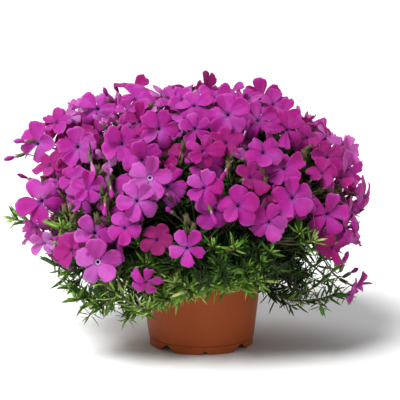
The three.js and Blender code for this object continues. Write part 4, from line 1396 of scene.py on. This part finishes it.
def add_front_shoots(shape, rng):
    for at in UNDERGROWTH:
        add_undergrowth(shape, math.radians(at), rng)
    for k, (stations, tone) in enumerate(SPRIGS):
        add_sprig(shape, stations, tone, SPRIG_LEAVES[min(k, 1)], rng)
    for stations, tone in SIDE_SPRIGS:
        add_sprig(shape, stations, tone, SPRIG_LEAVES[1], rng, rooted=False)
    for tuft in TUFTS:
        add_tuft(shape, *tuft, rng)


def foot_bottom(azimuth):
    """How high the foot ring is cut away at an azimuth: V gaps between the feet, a V notch in each."""
    cut = 0.0
    for cutter, offset in ((FOOT_GAP, math.pi / 4), (FOOT_NOTCH, 0.0)):
        turn = azimuth - math.radians(POT["turn"]) - offset
        turn = (turn + math.pi / FEET) % (2 * math.pi / FEET) - math.pi / FEET
        slope = (cutter["height"] + 1) / (cutter["width"] / 2)
        cut = max(cut, cutter["height"] - slope * abs(math.sin(turn)) * POT["foot_radius"])
    return cut


def pot_outline(azimuth):
    """The pot's (radius, height) points at an azimuth: from under its floor, round the foot ring, up
    the wall, over the lip and down inside. Edges are rounded by a few tenths of a millimetre."""
    foot = foot_bottom(azimuth)
    outer = POT["foot_radius"]
    inner = outer - POT["foot_thickness"]
    seam = POT["foot_height"]
    wall_foot = POT["wall_foot_radius"]
    wall_top = POT["wall_top_radius"]
    inside = wall_foot - POT["wall"]
    plate = POT["plate_top"]
    rim = POT["rim_radius"]
    top = POT["height"]
    lip = wall_top + POT["lip_step"]
    lip_foot = top - POT["lip_height"]
    foot_ring = [(inner, plate - POT["wall"]), (inner, foot + 0.3), (inner + 0.3, foot)]
    foot_ring += [(outer - 0.5, foot), (outer - 0.1, foot + 0.3)]
    foot_ring += [(outer, seam - 0.9), (outer - 0.5, seam - 0.6), (outer - 0.5, seam)]
    wall = [(wall_foot - 0.2, seam), (wall_foot, seam + 0.3), (wall_foot + 0.1, seam + 1.0)]
    wall += [(wall_top - 0.05, lip_foot - 0.6), (wall_top + 0.1, lip_foot - 0.1)]
    rolled = [(lip - 0.2, lip_foot + 0.4), (lip, lip_foot + 0.8), (rim, top - 0.8), (rim - 0.2, top - 0.3)]
    rolled += [(rim - 0.7, top), (rim - 1.5, top), (rim - 1.9, top - 0.3), (rim - 2.05, top - 0.9)]
    floor = [(inside + 0.6, plate + 1.6), (inside - 0.6, plate + 0.4), (inside - 1.6, plate)]
    return foot_ring + wall + rolled + floor


def make_pot(material):
    """The pot: its outline at each azimuth joined into a wall, with a disc under and on its floor."""
    azimuths = [2 * math.pi * k / POT_SEGMENTS for k in range(POT_SEGMENTS)]
    outlines = [pot_outline(azimuth) for azimuth in azimuths]
    count = len(outlines[0])
    points = [UP * z + direction(azimuth) * r for azimuth, own in zip(azimuths, outlines) for r, z in own]
    under = len(points)
    points += [UP * (POT["plate_top"] - POT["wall"]), UP * POT["plate_top"]]
    walls = []
    plates = []
    for k in range(POT_SEGMENTS):
        one = k * count
        two = (k + 1) % POT_SEGMENTS * count
        walls += [(one + i, two + i, two + i + 1, one + i + 1) for i in range(count - 1)]
        plates += [(two, one, under), (one + count - 1, two + count - 1, under + 1)]
    shape = Shape()
    shape.add(points, walls + plates)
    pot = shape.piece("nursery_pot", [material], "pot")
    drill_drains(pot)
    for polygon in pot.data.polygons:
        polygon.use_smooth = True
    pot.data.set_sharp_from_angle(angle=math.radians(POT_SHARP))


def drill_drains(pot):
    drills = []
    for k in range(DRAIN["count"]):
        at = direction(2 * math.pi * (k + 0.5) / DRAIN["count"]) * DRAIN["circle"] + UP * POT["plate_top"]
        bpy.ops.mesh.primitive_cylinder_add(
            vertices=32, radius=DRAIN["radius"] * MM, depth=DRAIN["depth"] * MM, location=at * MM
        )
        drills.append(bpy.context.object)
    for drill in drills:
        cut = pot.modifiers.new("drain", "BOOLEAN")
        cut.operation = "DIFFERENCE"
        cut.solver = "EXACT"
        cut.object = drill
        bpy.context.view_layer.objects.active = pot
        bpy.ops.object.modifier_apply(modifier=cut.name)
        bpy.data.objects.remove(drill)


def make_soil(material):
    """The soil: a closed body whose top is lumpy, with loose crumbs on it."""
    rings, sides = SOIL_RINGS, SOIL_SIDES
    floor = POT["plate_top"] + SOIL_GAP["floor"]
    widening = POT["rim_radius"] - POT["lip_thickness"] - POT["wall_foot_radius"] + POT["wall"]
    slope = widening / (POT["height"] - POT["plate_top"])
    inside = POT["wall_foot_radius"] - POT["wall"] - SOIL_GAP["wall"]
    top_radius = inside + slope * (SOIL_TOP - POT["plate_top"])
    ways = [direction(2 * math.pi * k / sides) for k in range(sides)]
    points = [UP * SOIL_MIDDLE]
    for i in range(1, rings + 1):
        for way in ways:
            spot = way * (top_radius * i / rings)
            z = SOIL_MIDDLE + (SOIL_TOP - SOIL_MIDDLE) * (i / rings)
            if i < rings:
                z += sum(noise.noise(spot * scale) * height for scale, height in SOIL_LUMPS)
            points.append(spot + UP * z)
    faces = [(0, 1 + k, 1 + (k + 1) % sides) for k in range(sides)]
    for i in range(rings - 1):
        for k in range(sides):
            a = 1 + i * sides + k
            b = 1 + i * sides + (k + 1) % sides
            faces.append((a, a + sides, b + sides, b))
    outer = 1 + (rings - 1) * sides
    low = len(points)
    points += [way * inside + UP * floor for way in ways]
    faces += [(outer + k, low + k, low + (k + 1) % sides, outer + (k + 1) % sides) for k in range(sides)]
    faces.append(tuple(low + k for k in range(sides))[::-1])
    shape = Shape()
    shape.add(points, faces)
    rng = random.Random(SEEDS["soil"])
    for _ in range(CRUMBS):
        r = top_radius * 0.96 * math.sqrt(rng.random())
        at = direction(rng.uniform(0, 2 * math.pi)) * r + UP * (SOIL_MIDDLE - 0.6)
        add_crumb(shape, at, rng.uniform(*CRUMB_SIZES), rng)
    shape.piece("soil_surface", [material], "potting_soil")


def add_crumb(shape, at, size, rng):
    """A small irregular lump: an octahedron with its corners moved."""
    ways = [Vector(way) for way in ((1, 0, 0), (0, 1, 0), (-1, 0, 0), (0, -1, 0), (0, 0, 1), (0, 0, -1))]
    points = [at + way * size * rng.uniform(0.6, 1.2) for way in ways]
    faces = [(0, 1, 4), (1, 2, 4), (2, 3, 4), (3, 0, 4), (1, 0, 5), (2, 1, 5), (3, 2, 5), (0, 3, 5)]
    shape.add(points, faces, smooth=False)


def make_crown(material):
    """The woody crown: a knotted collar on the soil that tapers to a tap root inside it."""
    points = []
    for r, z in CROWN_OUTLINE:
        for k in range(CROWN_SIDES):
            spot = direction(2 * math.pi * k / CROWN_SIDES) * r + UP * z
            size = CROWN_KNOTS["size"] if z > COLLAR_FOOT else 0
            knot = 1 + size * noise.noise(spot * CROWN_KNOTS["scale"])
            points.append(Vector((spot.x * knot, spot.y * knot, z)))
    shape = Shape()
    shape.add(points, tube_faces(len(CROWN_OUTLINE), CROWN_SIDES))
    shape.piece("woody_crown", [material], "root_crown")


# ---- the studio ------------------------------------------------------------------------------
def make_floor():
    bpy.ops.mesh.primitive_plane_add(size=FLOOR_SIZE)
    floor = bpy.context.object
    floor.name = "studio_floor"
    floor.data.materials.append(floor_material())


def make_sky():
    """A sky that is bright at the horizon, so that the floor ends in white, and dim above."""
    world = bpy.data.worlds.new("studio")
    bpy.context.scene.world = world
    world.use_nodes = True
    tree = world.node_tree
    height = tree.nodes.new("ShaderNodeSeparateXYZ")
    tree.links.new(tree.nodes.new("ShaderNodeTexCoord").outputs["Generated"], height.inputs[0])
    sky = tree.nodes.new("ShaderNodeValToRGB")
    tree.links.new(height.outputs["Z"], sky.inputs["Fac"])
    tree.links.new(sky.outputs["Color"], tree.nodes["Background"].inputs["Color"])
    for element, (position, grey) in zip(sky.color_ramp.elements, SKY_GREYS):
        element.position = position
        element.color = (grey, grey, grey, 1)
    bpy.context.scene.view_settings.view_transform = "Standard"


def make_light(name, azimuth, elevation, energy, angle):
    """A distant soft light from a direction."""
    data = bpy.data.lights.new(name, "SUN")
    data.energy = energy
    data.angle = math.radians(angle)
    light = bpy.data.objects.new(name, data)
    way = direction(math.radians(azimuth), math.radians(elevation))
    light.rotation_euler = way.to_track_quat("Z", "Y").to_euler()
    bpy.context.collection.objects.link(light)


def make_camera():
    data = bpy.data.cameras.new("camera")
    data.sensor_width = SENSOR
    data.lens = SENSOR * EYE_DISTANCE / (2 * GRID_MIDDLE * GRID_STEP)
    camera = bpy.data.objects.new("camera", data)
    camera.location = eye * MM
    camera.rotation_euler = forward.to_track_quat("-Z", "Y").to_euler()
    bpy.context.collection.objects.link(camera)
    bpy.context.scene.camera = camera


make_camera()
make_floor()
make_sky()
for light in LIGHTS:
    make_light(*light)
stem_green = stem_material()
leaf = leaf_material()
make_stems(petal_material(), throat_material(), tube_material(), calyx_material(), stem_green, leaf)
make_trails(stem_green, leaf)
make_pot(pot_material())
make_soil(soil_material())
make_crown(bark_material())
